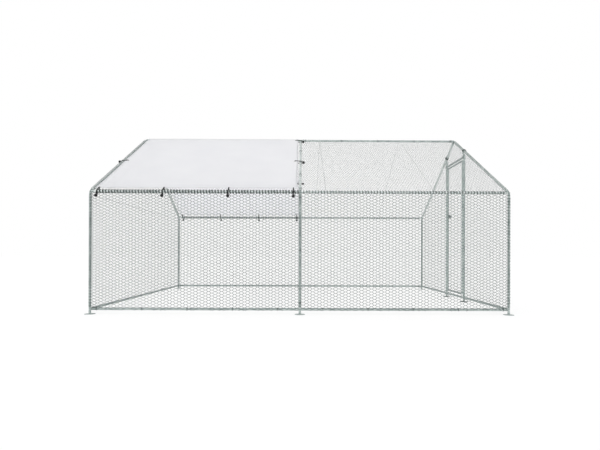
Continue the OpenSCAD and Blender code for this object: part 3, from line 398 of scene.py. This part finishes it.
def wrap_tree():
    """Turns of wire round tubes: a short coil at every step along each edge of the mesh."""
    tree = bpy.data.node_groups.new("wire_wraps", "GeometryNodeTree")
    tree.interface.new_socket("Tubes", in_out="INPUT", socket_type="NodeSocketGeometry")
    for name in ("Spacing", "Coil Radius", "Coil Length", "Turns", "Wire Diameter"):
        tree.interface.new_socket(name, in_out="INPUT", socket_type="NodeSocketFloat")
    tree.interface.new_socket("Wire", in_out="INPUT", socket_type="NodeSocketMaterial")
    tree.interface.new_socket("Wraps", in_out="OUTPUT", socket_type="NodeSocketGeometry")
    given = add(tree, "NodeGroupInput")
    lines = add(tree, "GeometryNodeMeshToCurve", [given["Tubes"]])[0]
    points = add(tree, "GeometryNodeCurveToPoints",
                 {"Curve": lines, "Length": given["Spacing"]}, mode="LENGTH")
    coil = add(tree, "GeometryNodeCurveSpiral",
               {"Resolution": COIL_STEPS, "Rotations": given["Turns"], "Start Radius": given["Coil Radius"],
                "End Radius": given["Coil Radius"], "Height": given["Coil Length"]})[0]
    coils = add(tree, "GeometryNodeInstanceOnPoints",
                {"Points": points["Points"], "Instance": coil, "Rotation": points["Rotation"]})[0]
    real = add(tree, "GeometryNodeRealizeInstances", [coils])[0]
    radius = add(tree, "ShaderNodeMath", [given["Wire Diameter"], 0.5], operation="MULTIPLY")[0]
    profile = add(tree, "GeometryNodeCurvePrimitiveCircle",
                  {"Resolution": WRAP_SIDES, "Radius": radius})["Curve"]
    wire = add(tree, "GeometryNodeCurveToMesh",
               {"Curve": real, "Profile Curve": profile, "Fill Caps": True})[0]
    solid = add(tree, "GeometryNodeRealizeInstances", [wire])[0]
    done = add(tree, "GeometryNodeSetMaterial", {"Geometry": solid, "Material": given["Wire"]})[0]
    add(tree, "NodeGroupOutput", [done])
    return tree


def stitch_tree():
    """A row of stitches along each line of the mesh."""
    tree = bpy.data.node_groups.new("hem_stitches", "GeometryNodeTree")
    tree.interface.new_socket("Seams", in_out="INPUT", socket_type="NodeSocketGeometry")
    for name in ("Spacing", "Stitch Length", "Thread Diameter"):
        tree.interface.new_socket(name, in_out="INPUT", socket_type="NodeSocketFloat")
    tree.interface.new_socket("Thread", in_out="INPUT", socket_type="NodeSocketMaterial")
    tree.interface.new_socket("Stitches", in_out="OUTPUT", socket_type="NodeSocketGeometry")
    given = add(tree, "NodeGroupInput")
    lines = add(tree, "GeometryNodeMeshToCurve", [given["Seams"]])[0]
    points = add(tree, "GeometryNodeCurveToPoints",
                 {"Curve": lines, "Length": given["Spacing"]}, mode="LENGTH")
    bead = add(tree, "GeometryNodeMeshUVSphere", {"Segments": 6, "Rings": 4, "Radius": 0.5})["Mesh"]
    size = add(tree, "ShaderNodeCombineXYZ",
               [given["Thread Diameter"], given["Thread Diameter"], given["Stitch Length"]])[0]
    stitches = add(tree, "GeometryNodeInstanceOnPoints",
                   {"Points": points["Points"], "Instance": bead,
                    "Rotation": points["Rotation"], "Scale": size})[0]
    solid = add(tree, "GeometryNodeRealizeInstances", [stitches])[0]
    done = add(tree, "GeometryNodeSetMaterial", {"Geometry": solid, "Material": given["Thread"]})[0]
    add(tree, "NodeGroupOutput", [done])
    return tree


def settled(name, source):
    """The mesh that a source object shows, as a plain object of its own. The source goes."""
    bpy.context.scene.collection.objects.link(source)
    evaluated = source.evaluated_get(bpy.context.evaluated_depsgraph_get())
    mesh = bpy.data.meshes.new_from_object(evaluated)
    mesh.name = name
    bpy.data.objects.remove(source)
    piece = bpy.data.objects.new(name, mesh)
    bpy.context.scene.collection.objects.link(piece)
    return piece


def grown(name, base, tree, place, **inputs):
    """The mesh that a tree grows from a base mesh, put in its place as a new object."""
    seed = bpy.data.objects.new(name + "_base", base)
    modifier = seed.modifiers.new("grow", "NODES")
    modifier.node_group = tree
    for socket in tree.interface.items_tree:
        key = socket.name.lower().replace(" ", "_")
        if socket.in_out == "INPUT" and key in inputs:
            modifier[socket.identifier] = inputs[key]
    piece = settled(name, seed)
    piece.data.transform(place)
    return piece


def outline_mesh(points):
    """A flat face with these corners, in its own plane."""
    mesh = bpy.data.meshes.new("outline")
    mesh.from_pydata([(x, y, 0) for x, y in points], [], [list(range(len(points)))])
    mesh.update()
    return mesh


def edge_mesh(lines):
    """Loose edges along lists of points."""
    points, edges = [], []
    for line in lines:
        edges += [(len(points) + i, len(points) + i + 1) for i in range(len(line) - 1)]
        points += line
    mesh = bpy.data.meshes.new("lines")
    mesh.from_pydata(points, edges, [])
    mesh.update()
    return mesh


def plane(origin, across, up):
    """The matrix that takes a plane's own x and y to two directions at an origin."""
    across, up = Vector(across).normalized(), Vector(up).normalized()
    turn = Matrix((across, up, across.cross(up))).transposed().to_4x4()
    return Matrix.Translation(origin) @ turn


hexagons = netting_tree()
wraps = wrap_tree()
stitching = stitch_tree()


def netting(name, node, body, corners, place, wire, sides=WIRE_SIDES):
    """Wire netting in the place of a CAD net."""
    piece = grown(name, outline_mesh(corners), hexagons, place, pitch=NET_PITCH, column_spacing=NET_COLUMN,
                  twist_length=NET_TWIST, wire_diameter=wire, wire_sides=sides, wire=wire_zinc)
    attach(piece, body)
    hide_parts(node)
    return piece


def rectangle(x0, x1, y0, y1):
    """Corners of a rectangle, in order."""
    return [(x0, y0), (x1, y0), (x1, y1), (x0, y1)]


# Walls: the net's own x along the wall, its y up
wall = rectangle(LEFT_X, RIGHT_X, BASE_Z, EAVE_Z)
netting("front_netting", "front_net", "frame", wall,
        plane((0, FRONT_Y - NET_OFFSET, 0), (1, 0, 0), (0, 0, 1)), FRONT_WIRE, FRONT_WIRE_SIDES)
netting("back_netting", "back_net", "frame", wall,
        plane((0, BACK_Y + NET_OFFSET, 0), (-1, 0, 0), (0, 0, 1)), WIRE)

gable = [(FRONT_Y, BASE_Z), (BACK_Y, BASE_Z), (BACK_Y, EAVE_Z), (0, RIDGE_Z), (FRONT_Y, EAVE_Z)]
netting("left_gable_netting", "left_gable_net", "frame", gable,
        plane((LEFT_X - NET_OFFSET, 0, 0), (0, 1, 0), (0, 0, 1)), WIRE)
right_gable = plane((RIGHT_X + NET_OFFSET, 0, 0), (0, 1, 0), (0, 0, 1))
netting("right_gable_front_netting", "right_gable_front_net", "frame",
        [(FRONT_Y, BASE_Z), (HINGE_POST_Y, BASE_Z), (HINGE_POST_Y, HINGE_MEET_Z), (FRONT_Y, EAVE_Z)],
        right_gable, WIRE)
netting("right_gable_back_netting", "right_gable_back_net", "frame",
        [(LATCH_POST_Y, BASE_Z), (BACK_Y, BASE_Z), (BACK_Y, EAVE_Z), (LATCH_POST_Y, LATCH_MEET_Z)],
        right_gable, WIRE)
netting("right_gable_top_netting", "right_gable_top_net", "frame",
        [(HINGE_POST_Y, LINTEL_Z), (LATCH_POST_Y, LINTEL_Z), (LATCH_POST_Y, LATCH_MEET_Z), (0, RIDGE_Z),
         (HINGE_POST_Y, HINGE_MEET_Z)], right_gable, WIRE)
door_low, door_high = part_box("door_net")
netting("door_netting", "door_net", "door", rectangle(door_low.y, door_high.y, door_low.z, door_high.z),
        plane((DOOR_NET_X, 0, 0), (0, 1, 0), (0, 0, 1)), WIRE)

# Roof: the net's own x up the slope, its y along the ridge
for side, sign in (("front", -1), ("back", 1)):
    up_slope = Vector((0, -sign * math.cos(PITCH), math.sin(PITCH)))
    out = Vector((0, sign * math.sin(PITCH), math.cos(PITCH)))
    eave = Vector((0, sign * HALF_DEPTH, EAVE_Z)) + out * NET_OFFSET
    for bay, x0, x1, wire in (("left", LEFT_X, MIDDLE_X, COVERED_WIRE), ("right", MIDDLE_X, RIGHT_X, WIRE)):
        along = (sign * x0, sign * x1)
        netting(f"{side}_{bay}_roof_netting", f"{side}_roof_net", "frame",
                rectangle(0, SLOPE, min(along), max(along)), plane(eave, up_slope, (sign, 0, 0)), wire)


def slope_point(x, side, up, out=0.0):
    """A point on a roof slope: how far up it from the eave's axis, and how far out of it."""
    y = side * (HALF_DEPTH - up * math.cos(PITCH) + out * math.sin(PITCH))
    return Vector((x, y, EAVE_Z + up * math.sin(PITCH) + out * math.cos(PITCH)))


def wrapped(name, body, lines, spacing, radius, turns, wire=WRAP_WIRE):
    """Ends of the netting's wires, each turned round the tube that it meets."""
    piece = grown(name, edge_mesh(lines), wraps, Matrix(), spacing=spacing, coil_radius=radius,
                  coil_length=turns * TURN_STEP, turns=turns, wire_diameter=wire, wire=wrap_zinc)
    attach(piece, body)


def wires(name, body, lines, diameter, finish):
    """Wires or beads along lists of points, as one piece."""
    curve = bpy.data.curves.new(name, "CURVE")
    curve.dimensions = "3D"
    curve.bevel_depth = diameter / 2
    curve.bevel_resolution = 1
    curve.use_fill_caps = True
    for line in lines:
        spline = curve.splines.new("POLY")
        spline.points.add(len(line) - 1)
        for point, place in zip(spline.points, line):
            point.co = (*place, 1)
    piece = settled(name, bpy.data.objects.new(name + "_line", curve))
    piece.data.materials.append(finish)
    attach(piece, body)


def ring(centre, axis, radius, count=20):
    """Points of a closed ring round an axis."""
    turn = Vector(axis).to_track_quat("Z", "Y")
    angles = [2 * math.pi * i / count for i in range(count + 1)]
    return [Vector(centre) + turn @ Vector((radius * math.cos(a), radius * math.sin(a), 0)) for a in angles]


# The wires end round the tubes at the netting's edges, a pitch apart and clear of the joints
JOINT_ROOM = 0.06
WRAP_RADIUS = TUBE_RADIUS + 0.0014
TIE_TURNS = 2.3
SINGLE_TURN = 1.1
OPEN_EAVE_TURNS = 3.8
COVERED_EAVE_TURNS = 4.0
LONG_SIDES = ((-1, FRONT_Y), (1, BACK_Y))
POST_LOW, POST_HIGH = BASE_Z + JOINT_ROOM, EAVE_Z - JOINT_ROOM
posts = [((x, y, POST_LOW), (x, y, POST_HIGH)) for x in (LEFT_X, RIGHT_X) for _, y in LONG_SIDES]
door_posts = [((RIGHT_X, y, POST_LOW), (RIGHT_X, y, LINTEL_Z)) for y in (HINGE_POST_Y, LATCH_POST_Y)]
covered_eaves = [((LEFT_X + JOINT_ROOM, y, EAVE_Z), (MIDDLE_X - NET_PITCH, y, EAVE_Z)) for _, y in LONG_SIDES]
open_eaves = [((MIDDLE_X + NET_PITCH, y, EAVE_Z), (RIGHT_X - JOINT_ROOM, y, EAVE_Z)) for _, y in LONG_SIDES]
rafters = {
    x: [[slope_point(x, side, up) for up in (JOINT_ROOM, SLOPE - JOINT_ROOM)] for side, _ in LONG_SIDES]
    for x in (LEFT_X, MIDDLE_X, RIGHT_X)
}
wrapped("post_wire_ends", "frame", posts, NET_PITCH, WRAP_RADIUS, SINGLE_TURN)
wrapped("door_post_wire_ends", "frame", door_posts, NET_PITCH, TUBE_RADIUS + DOOR_WRAP_WIRE / 2,
        SINGLE_TURN, DOOR_WRAP_WIRE)
wrapped("open_eave_wire_ends", "frame", open_eaves, NET_PITCH, WRAP_RADIUS, OPEN_EAVE_TURNS)
wrapped("right_rafter_wire_ends", "frame", rafters[RIGHT_X], NET_PITCH, WRAP_RADIUS, SINGLE_TURN)
# Round the cover two nets are folded over each other, so the turns stand further out
FOLDED_NET_RADIUS = TUBE_RADIUS + 0.0055
wrapped("left_rafter_wire_ends", "frame", rafters[LEFT_X], NET_PITCH, FOLDED_NET_RADIUS, SINGLE_TURN)
wrapped("covered_eave_wire_ends", "frame", covered_eaves, NET_PITCH, FOLDED_NET_RADIUS, COVERED_EAVE_TURNS)

# The door's own netting ends round its frame in the same way
stile_low, stile_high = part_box("hinge_stile")
DOOR_RADIUS = (stile_high.x - stile_low.x) / 2
leaf = []
for stile in ("hinge_stile", "latch_stile"):
    at = middle(stile)
    leaf.append(((at.x, at.y, stile_low.z + JOINT_ROOM), (at.x, at.y, stile_high.z - JOINT_ROOM)))
for rail in ("door_top_rail", "door_bottom_rail"):
    at = middle(rail)
    leaf.append(((at.x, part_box(rail)[0].y + NET_PITCH, at.z), (at.x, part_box(rail)[1].y - NET_PITCH, at.z)))
wrapped("door_wire_ends", "door", leaf, NET_PITCH, DOOR_RADIUS + DOOR_WRAP_WIRE / 2,
        SINGLE_TURN, DOOR_WRAP_WIRE)

# Single ties hold the netting along the base rails and the middle frame
TIE_SPACING = 0.4
base_rails = [((LEFT_X + JOINT_ROOM, y, BASE_Z), (RIGHT_X - JOINT_ROOM, y, BASE_Z)) for _, y in LONG_SIDES]
base_rails += [((LEFT_X, FRONT_Y + JOINT_ROOM, BASE_Z), (LEFT_X, BACK_Y - JOINT_ROOM, BASE_Z))]
middle_posts = [((MIDDLE_X, y, POST_LOW), (MIDDLE_X, y, POST_HIGH)) for _, y in LONG_SIDES]
ridge = [((MIDDLE_X + JOINT_ROOM, 0, RIDGE_Z), (RIGHT_X - JOINT_ROOM, 0, RIDGE_Z))]
tied = base_rails + middle_posts + rafters[MIDDLE_X] + ridge
wrapped("net_ties", "frame", tied, TIE_SPACING, WRAP_RADIUS, TIE_TURNS)

# The netting is bound to the rafters where the door posts meet them, with one coil at each
HEAD_TURNS = 9.2
HEAD_RADIUS = TUBE_RADIUS + 0.007
half_head = HEAD_TURNS * TURN_STEP / 2
heads = []
for y in (HINGE_POST_Y, LATCH_POST_Y):
    up = SLOPE - abs(y) / math.cos(PITCH)
    heads.append([slope_point(RIGHT_X, math.copysign(1, y), up + d) for d in (-half_head, half_head)])
wrapped("post_head_ties", "frame", heads, 4 * half_head, HEAD_RADIUS, HEAD_TURNS)

# Straight wires where one strip of netting ends: across the left gable and up the roof
STRIP_WIDTH = 1.035
MIDDLE_SEAM_X = 0.245
SEAM_NUMBERS = range(-2, 2)
gable_x = LEFT_X - NET_OFFSET
seams = [[(gable_x, FRONT_Y, EAVE_Z - JOINT_ROOM / 2), (gable_x, BACK_Y, EAVE_Z - JOINT_ROOM / 2)]]
for side, _ in LONG_SIDES:
    for number in SEAM_NUMBERS:
        x = MIDDLE_SEAM_X + number * STRIP_WIDTH
        seams.append([slope_point(x, side, 0, NET_OFFSET), slope_point(x, side, SLOPE, NET_OFFSET)])
wires("net_seams", "frame", seams, SEAM_WIRE, wire_zinc)

# Welds at the feet and the door's corners, and the joint in the hinge post
WELD = 0.003
FOOT_THICKNESS = 0.0025
SPIGOT_RADIUS = TUBE_RADIUS - 0.001
foot_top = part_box("post_feet")[0].z + FOOT_THICKNESS
foot_places = [(x, y) for x in (LEFT_X, MIDDLE_X, RIGHT_X) for _, y in LONG_SIDES]
foot_places += [(RIGHT_X, HINGE_POST_Y), (RIGHT_X, LATCH_POST_Y)]
foot_welds = [ring((x, y, foot_top), (0, 0, 1), SPIGOT_RADIUS) for x, y in foot_places]
wires("foot_welds", "frame", foot_welds, WELD, foot_zinc)
POST_JOINT_Z = 1.033
POST_JOINT_BEAD = 0.0016
post_joint = ring((RIGHT_X, HINGE_POST_Y, POST_JOINT_Z), (0, 0, 1), TUBE_RADIUS)
wires("hinge_post_joint", "frame", [post_joint], POST_JOINT_BEAD, tube_zinc)
door_welds = []
for rail in ("door_top_rail", "door_bottom_rail"):
    rail_low, rail_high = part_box(rail)
    centre = middle(rail)
    for y in (rail_low.y, rail_high.y):
        door_welds.append(ring((centre.x, y, centre.z), (0, 1, 0), DOOR_RADIUS))
wires("door_welds", "door", door_welds, WELD, tube_zinc)

# Cover: one sheet over the ridge, thinner than the CAD sheet and a little under its top
cover_low, cover_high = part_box("cover")
SHEET, SHEET_SINK = 0.0006, 0.0007
SHEET_OUT = cover_high.z - RIDGE_Z - SHEET_SINK
CLOTH_STEP = 0.02
HEM, HEM_FOLD = 0.025, 0.001
# Its edges are pulled in between their ties, and its sides reach past the CAD sheet's, except at the ridge
SCALLOP = 0.008
EAVE_TIES, SIDE_SPANS = 4, 4
SIDE_REACH, RIDGE_NOTCH = 0.018, 0.1
# Folds from the ties: height, width and reach, and how far they lean along the eave for each metre inwards
FOLD_HEIGHT, FOLD_WIDTH, FOLD_REACH = 0.0016, 0.016, 0.35
FOLD_LEANS = (-0.7, 0, 0.7)
# The cloth lies flat along its edges: folds fade out this far from an edge, and waves this far
FOLD_FADE, WAVE_FADE = 0.05, 0.15
WAVE_HEIGHT = 0.0008
RIDGE_ARC = SHEET_OUT * PITCH
half_cut = RIDGE_ARC + SLOPE - COVER_EDGE
cut_width, cut_length = cover_high.x - cover_low.x, 2 * half_cut


def scallop(t, spans):
    """How far an edge is pulled in between its ties, at a share t of the edge."""
    return SCALLOP * abs(math.sin(math.pi * t * spans))


def sheet_point(x, along, lift):
    """A point of the sheet: x, its distance from the ridge down one side, and its height off the roof."""
    out = SHEET_OUT + lift
    side = 1 if along > 0 else -1
    angle = min(abs(along), RIDGE_ARC) / SHEET_OUT
    down = max(abs(along) - RIDGE_ARC, 0)
    return Vector((x, side * (out * math.sin(angle) + down * math.cos(PITCH)),
                   RIDGE_Z + out * math.cos(angle) - down * math.sin(PITCH)))


def steps(length):
    """Distances across a length of cloth, closer together at its two hems."""
    edge = [0, HEM - HEM_FOLD, HEM + HEM_FOLD]
    count = round((length - 2 * HEM) / CLOTH_STEP)
    inner = [HEM + (length - 2 * HEM) * i / count for i in range(1, count)]
    return edge + inner + [length - d for d in reversed(edge)]


def crease(x, along):
    """Height of the shallow folds that run from the ties into the sheet."""
    height = 0
    for i in range(EAVE_TIES):
        for side in (-1, 1):
            dx = x - cut_width * i / (EAVE_TIES - 1)
            inward = half_cut - side * along
            for lean in FOLD_LEANS:
                across = abs(dx - lean * inward) / math.hypot(1, lean)
                height += FOLD_HEIGHT * math.exp(-(across / FOLD_WIDTH) ** 2 - inward / FOLD_REACH)
    return height


def cover_place(w, d, lift=0.0):
    """Where a point w across and d along the flat cloth lies on the roof, lifted off the cloth or not."""
    across, down = w / cut_width, d / cut_length
    notch = min(1, abs(d - half_cut) / RIDGE_NOTCH)
    reach = SIDE_REACH * notch - scallop(down, SIDE_SPANS)
    x = cover_low.x + w + reach * (2 * across - 1)
    along = (d - half_cut) * (1 - scallop(across, EAVE_TIES - 1) / half_cut)
    edge = min(w, cut_width - w, d, cut_length - d)
    # Two long waves that cross, of about 0.8 and 1 m
    waves = WAVE_HEIGHT * (2 + math.sin(7 * x + 3 * along) + math.sin(4 * along - 5 * x + 1))
    fold = crease(w, d - half_cut) * min(1, edge / FOLD_FADE)
    hem = SHEET if edge < HEM else 0
    return sheet_point(x, along, waves * min(1, edge / WAVE_FADE) + fold + hem + lift)


def cover_mesh():
    """The cover's cloth as a grid on the roof, with each point's place on the flat cloth as its UV."""
    across, along = steps(cut_width), steps(cut_length)
    flat = [(w, d) for d in along for w in across]
    points = [cover_place(w, d) for w, d in flat]
    n = len(across)
    faces = [(i + j * n, i + 1 + j * n, i + 1 + (j + 1) * n, i + (j + 1) * n)
             for j in range(len(along) - 1) for i in range(n - 1)]
    mesh = bpy.data.meshes.new("cover_sheet")
    mesh.from_pydata(points, [], faces)
    layer = mesh.uv_layers.new(name="cloth")
    for loop in mesh.loops:
        layer.data[loop.index].uv = flat[loop.vertex_index]
    mesh.materials.append(polythene)
    for face in mesh.polygons:
        face.use_smooth = True
    return mesh


sheet_source = bpy.data.objects.new("cover_flat", cover_mesh())
thickness = sheet_source.modifiers.new("thickness", "SOLIDIFY")
thickness.thickness = SHEET
thickness.offset = 1
cover_sheet = settled("cover_sheet", sheet_source)
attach(cover_sheet, "frame")
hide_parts("cover")

# The hem is sewn along its edge, outside the grommets
STITCH_INSET = 0.005
STITCH_SPACING = 0.008
STITCH_LENGTH = 0.006
THREAD = 0.0011
seam_lines = []
for w in (STITCH_INSET, cut_width - STITCH_INSET):
    seam_lines.append([cover_place(w, d, SHEET) for d in steps(cut_length)[1:-1]])
for d in (STITCH_INSET, cut_length - STITCH_INSET):
    seam_lines.append([cover_place(w, d, SHEET) for w in steps(cut_width)[1:-1]])
hem_stitches = grown("cover_hem_stitches", edge_mesh(seam_lines), stitching, Matrix(), spacing=STITCH_SPACING,
                     stitch_length=STITCH_LENGTH, thread_diameter=THREAD, thread=sewing_thread)
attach(hem_stitches, "frame")

# Ball bungees: each is a doubled cord, so the CAD cord is made round and laid twice, side by side along its
# tube. The balls are drawn a little larger, as strongly as the photograph shows them, and stand further out
CORD_SWELL = 0.0012
STRAND_SPACING = 0.0054
ROUNDING = 2
BALL_GROWTH = 1.3
SEAM_BEAD = 0.0008
BALL_EDGE = math.radians(35)
SAME_POINT = 1e-6
tied_tubes = [(Vector(a), Vector(b)) for a, b in covered_eaves + rafters[LEFT_X] + rafters[MIDDLE_X]]


def tied_tube(place):
    """The nearest point on the axes of the tied tubes, and that axis's direction."""
    feet = [(intersect_point_line(place, a, b)[0], (b - a).normalized()) for a, b in tied_tubes]
    return min(feet, key=lambda found: (found[0] - place).length)


def islands(node, quads):
    """A CAD node's separate solids: each one's points with their normals, and its faces by point numbers."""
    shell = bmesh.new()
    shell.from_mesh(nodes[node].data)
    bmesh.ops.remove_doubles(shell, verts=shell.verts, dist=SAME_POINT)
    if quads:
        bmesh.ops.join_triangles(shell, faces=shell.faces, angle_face_threshold=math.pi,
                                 angle_shape_threshold=math.pi)
    bmesh.ops.recalc_face_normals(shell, faces=shell.faces)
    shell.verts.index_update()
    shell.faces.index_update()
    solids, seen = [], set()
    for first in shell.verts:
        found, waiting = [], [first]
        while waiting:
            vertex = waiting.pop()
            if vertex.index not in seen:
                seen.add(vertex.index)
                found.append(vertex)
                waiting += [e.other_vert(vertex) for e in vertex.link_edges]
        if found:
            number = {vertex.index: i for i, vertex in enumerate(found)}
            touched = {face.index: face for vertex in found for face in vertex.link_faces}
            faces = {i: [number[v.index] for v in face.verts] for i, face in touched.items()}
            solids.append(([(v.co.copy(), v.normal.copy()) for v in found], list(faces.values())))
    shell.free()
    return solids


def joined(name, solids):
    """One mesh of several lists of points and faces."""
    points, faces = [], []
    for places, polygons in solids:
        faces += [[len(points) + i for i in polygon] for polygon in polygons]
        points += places
    mesh = bpy.data.meshes.new(name)
    mesh.from_pydata(points, [], faces)
    mesh.shade_smooth()
    return mesh


def loop_strands():
    """The points and faces of each elastic loop's two strands."""
    for found, faces in islands("bungee_loops", quads=True):
        along = tied_tube(sum((place for place, _ in found), Vector()) / len(found))[1]
        for side in (-1, 1):
            shift = along * (side * STRAND_SPACING / 2)
            yield [place + normal * CORD_SWELL + shift for place, normal in found], faces


loop_mesh = joined("loop_shell", loop_strands())
loop_mesh.materials.append(elastic)
loop_source = bpy.data.objects.new("loop_shell", loop_mesh)
rounding = loop_source.modifiers.new("round", "SUBSURF")
rounding.levels = rounding.render_levels = ROUNDING
loops = settled("elastic_loops", loop_source)
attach(loops, "frame")
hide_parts("bungee_loops")

grown_balls, ball_seams = [], []
for found, faces in islands("bungee_balls", quads=False):
    lows, highs = ([pick(place[axis] for place, _ in found) for axis in range(3)] for pick in (min, max))
    centre = (Vector(lows) + Vector(highs)) / 2
    radius = max(highs[axis] - lows[axis] for axis in range(3)) / 2
    foot, along = tied_tube(centre)
    place_out = centre + (centre - foot).normalized() * radius * (BALL_GROWTH - 1)
    grown_balls.append(([place_out + (place - centre) * BALL_GROWTH for place, _ in found], faces))
    ball_seams.append(ring(place_out, along, radius * BALL_GROWTH))
ball_mesh = joined("bungee_ball_mouldings", grown_balls)
ball_mesh.set_sharp_from_angle(angle=BALL_EDGE)
ball_mesh.materials.append(black_plastic)
balls = bpy.data.objects.new("bungee_ball_mouldings", ball_mesh)
bpy.context.scene.collection.objects.link(balls)
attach(balls, "frame")
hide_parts("bungee_balls")
wires("ball_seams", "frame", ball_seams, SEAM_BEAD, black_plastic)

# Studio: soft light from all round and above, on a pale floor that keeps the shadow
WORLD_LIGHT = 0.72
FLOOR_GREY = (0.88, 0.88, 0.88, 1)
WHITE = (1, 1, 1, 1)
FLOOR_BOUNCE = 0.85
FLOOR_GLOW, GLOW_SHARE = 0.78, 0.76


def shown_share(tree):
    """1 for rays that show the backdrop to the camera: straight, mirrored or let through."""
    rays = add(tree, "ShaderNodeLightPath")
    seen = add(tree, "ShaderNodeMath", [rays["Is Camera Ray"], rays["Is Glossy Ray"]], operation="ADD")[0]
    return add(tree, "ShaderNodeMath", [seen, rays["Is Transmission Ray"]],
               operation="ADD", use_clamp=True)[0]


def studio_world():
    """Light from all round, shown as plain white."""
    world = bpy.data.worlds.new("studio")
    world.use_nodes = True
    tree = world.node_tree
    tree.nodes.clear()
    soft = add(tree, "ShaderNodeBackground", {"Color": WHITE, "Strength": WORLD_LIGHT})[0]
    white = add(tree, "ShaderNodeBackground", {"Color": WHITE, "Strength": 1.0})[0]
    backdrop = add(tree, "ShaderNodeMixShader", [shown_share(tree), soft, white])[0]
    add(tree, "ShaderNodeOutputWorld", {"Surface": backdrop})
    return world


def studio_floor():
    """Matt white paper with light from below: white to the camera where no shadow falls."""
    made, tree = material("studio_floor")
    matt = add(tree, "ShaderNodeBsdfDiffuse", {"Color": FLOOR_GREY})[0]
    glow = add(tree, "ShaderNodeEmission", {"Color": WHITE, "Strength": FLOOR_GLOW})[0]
    bounce = add(tree, "ShaderNodeEmission", {"Color": WHITE, "Strength": FLOOR_BOUNCE})[0]
    lit = add(tree, "ShaderNodeAddShader", [matt, bounce])[0]
    share = add(tree, "ShaderNodeMath", [shown_share(tree), GLOW_SHARE], operation="MULTIPLY")[0]
    look = add(tree, "ShaderNodeMixShader", [share, lit, glow])[0]
    add(tree, "ShaderNodeOutputMaterial", {"Surface": look})
    return made


bpy.context.scene.world = studio_world()
FLOOR_SIZE = 60
floor_mesh = outline_mesh(rectangle(-FLOOR_SIZE, FLOOR_SIZE, -FLOOR_SIZE, FLOOR_SIZE))
floor_mesh.materials.append(studio_floor())
floor = bpy.data.objects.new("floor", floor_mesh)
bpy.context.scene.collection.objects.link(floor)

SUN_STRENGTH = 1.35
SUN_SPREAD = math.radians(60)
SUN_TURN = (math.radians(38), math.radians(-18), 0)
sun_lamp = bpy.data.lights.new("overhead_softbox", "SUN")
sun_lamp.energy = SUN_STRENGTH
sun_lamp.angle = SUN_SPREAD
sun = bpy.data.objects.new("overhead_softbox", sun_lamp)
sun.rotation_euler = SUN_TURN
bpy.context.scene.collection.objects.link(sun)

lens = bpy.data.cameras.new("camera")
lens.sensor_width = SENSOR_WIDTH
lens.lens = SENSOR_WIDTH * FOCAL_PIXELS / IMAGE_WIDTH
lens.shift_x = (IMAGE_WIDTH / 2 - OPTICAL_CENTRE[0]) / IMAGE_WIDTH
lens.shift_y = (OPTICAL_CENTRE[1] - IMAGE_HEIGHT / 2) / IMAGE_WIDTH
camera = bpy.data.objects.new("camera", lens)
camera.location = CAMERA_PLACE
camera.rotation_euler = (math.pi / 2 + CAMERA_TILT, -CAMERA_ROLL, CAMERA_YAW)
bpy.context.scene.collection.objects.link(camera)
bpy.context.scene.camera = camera
bpy.context.scene.view_settings.view_transform = "Standard"
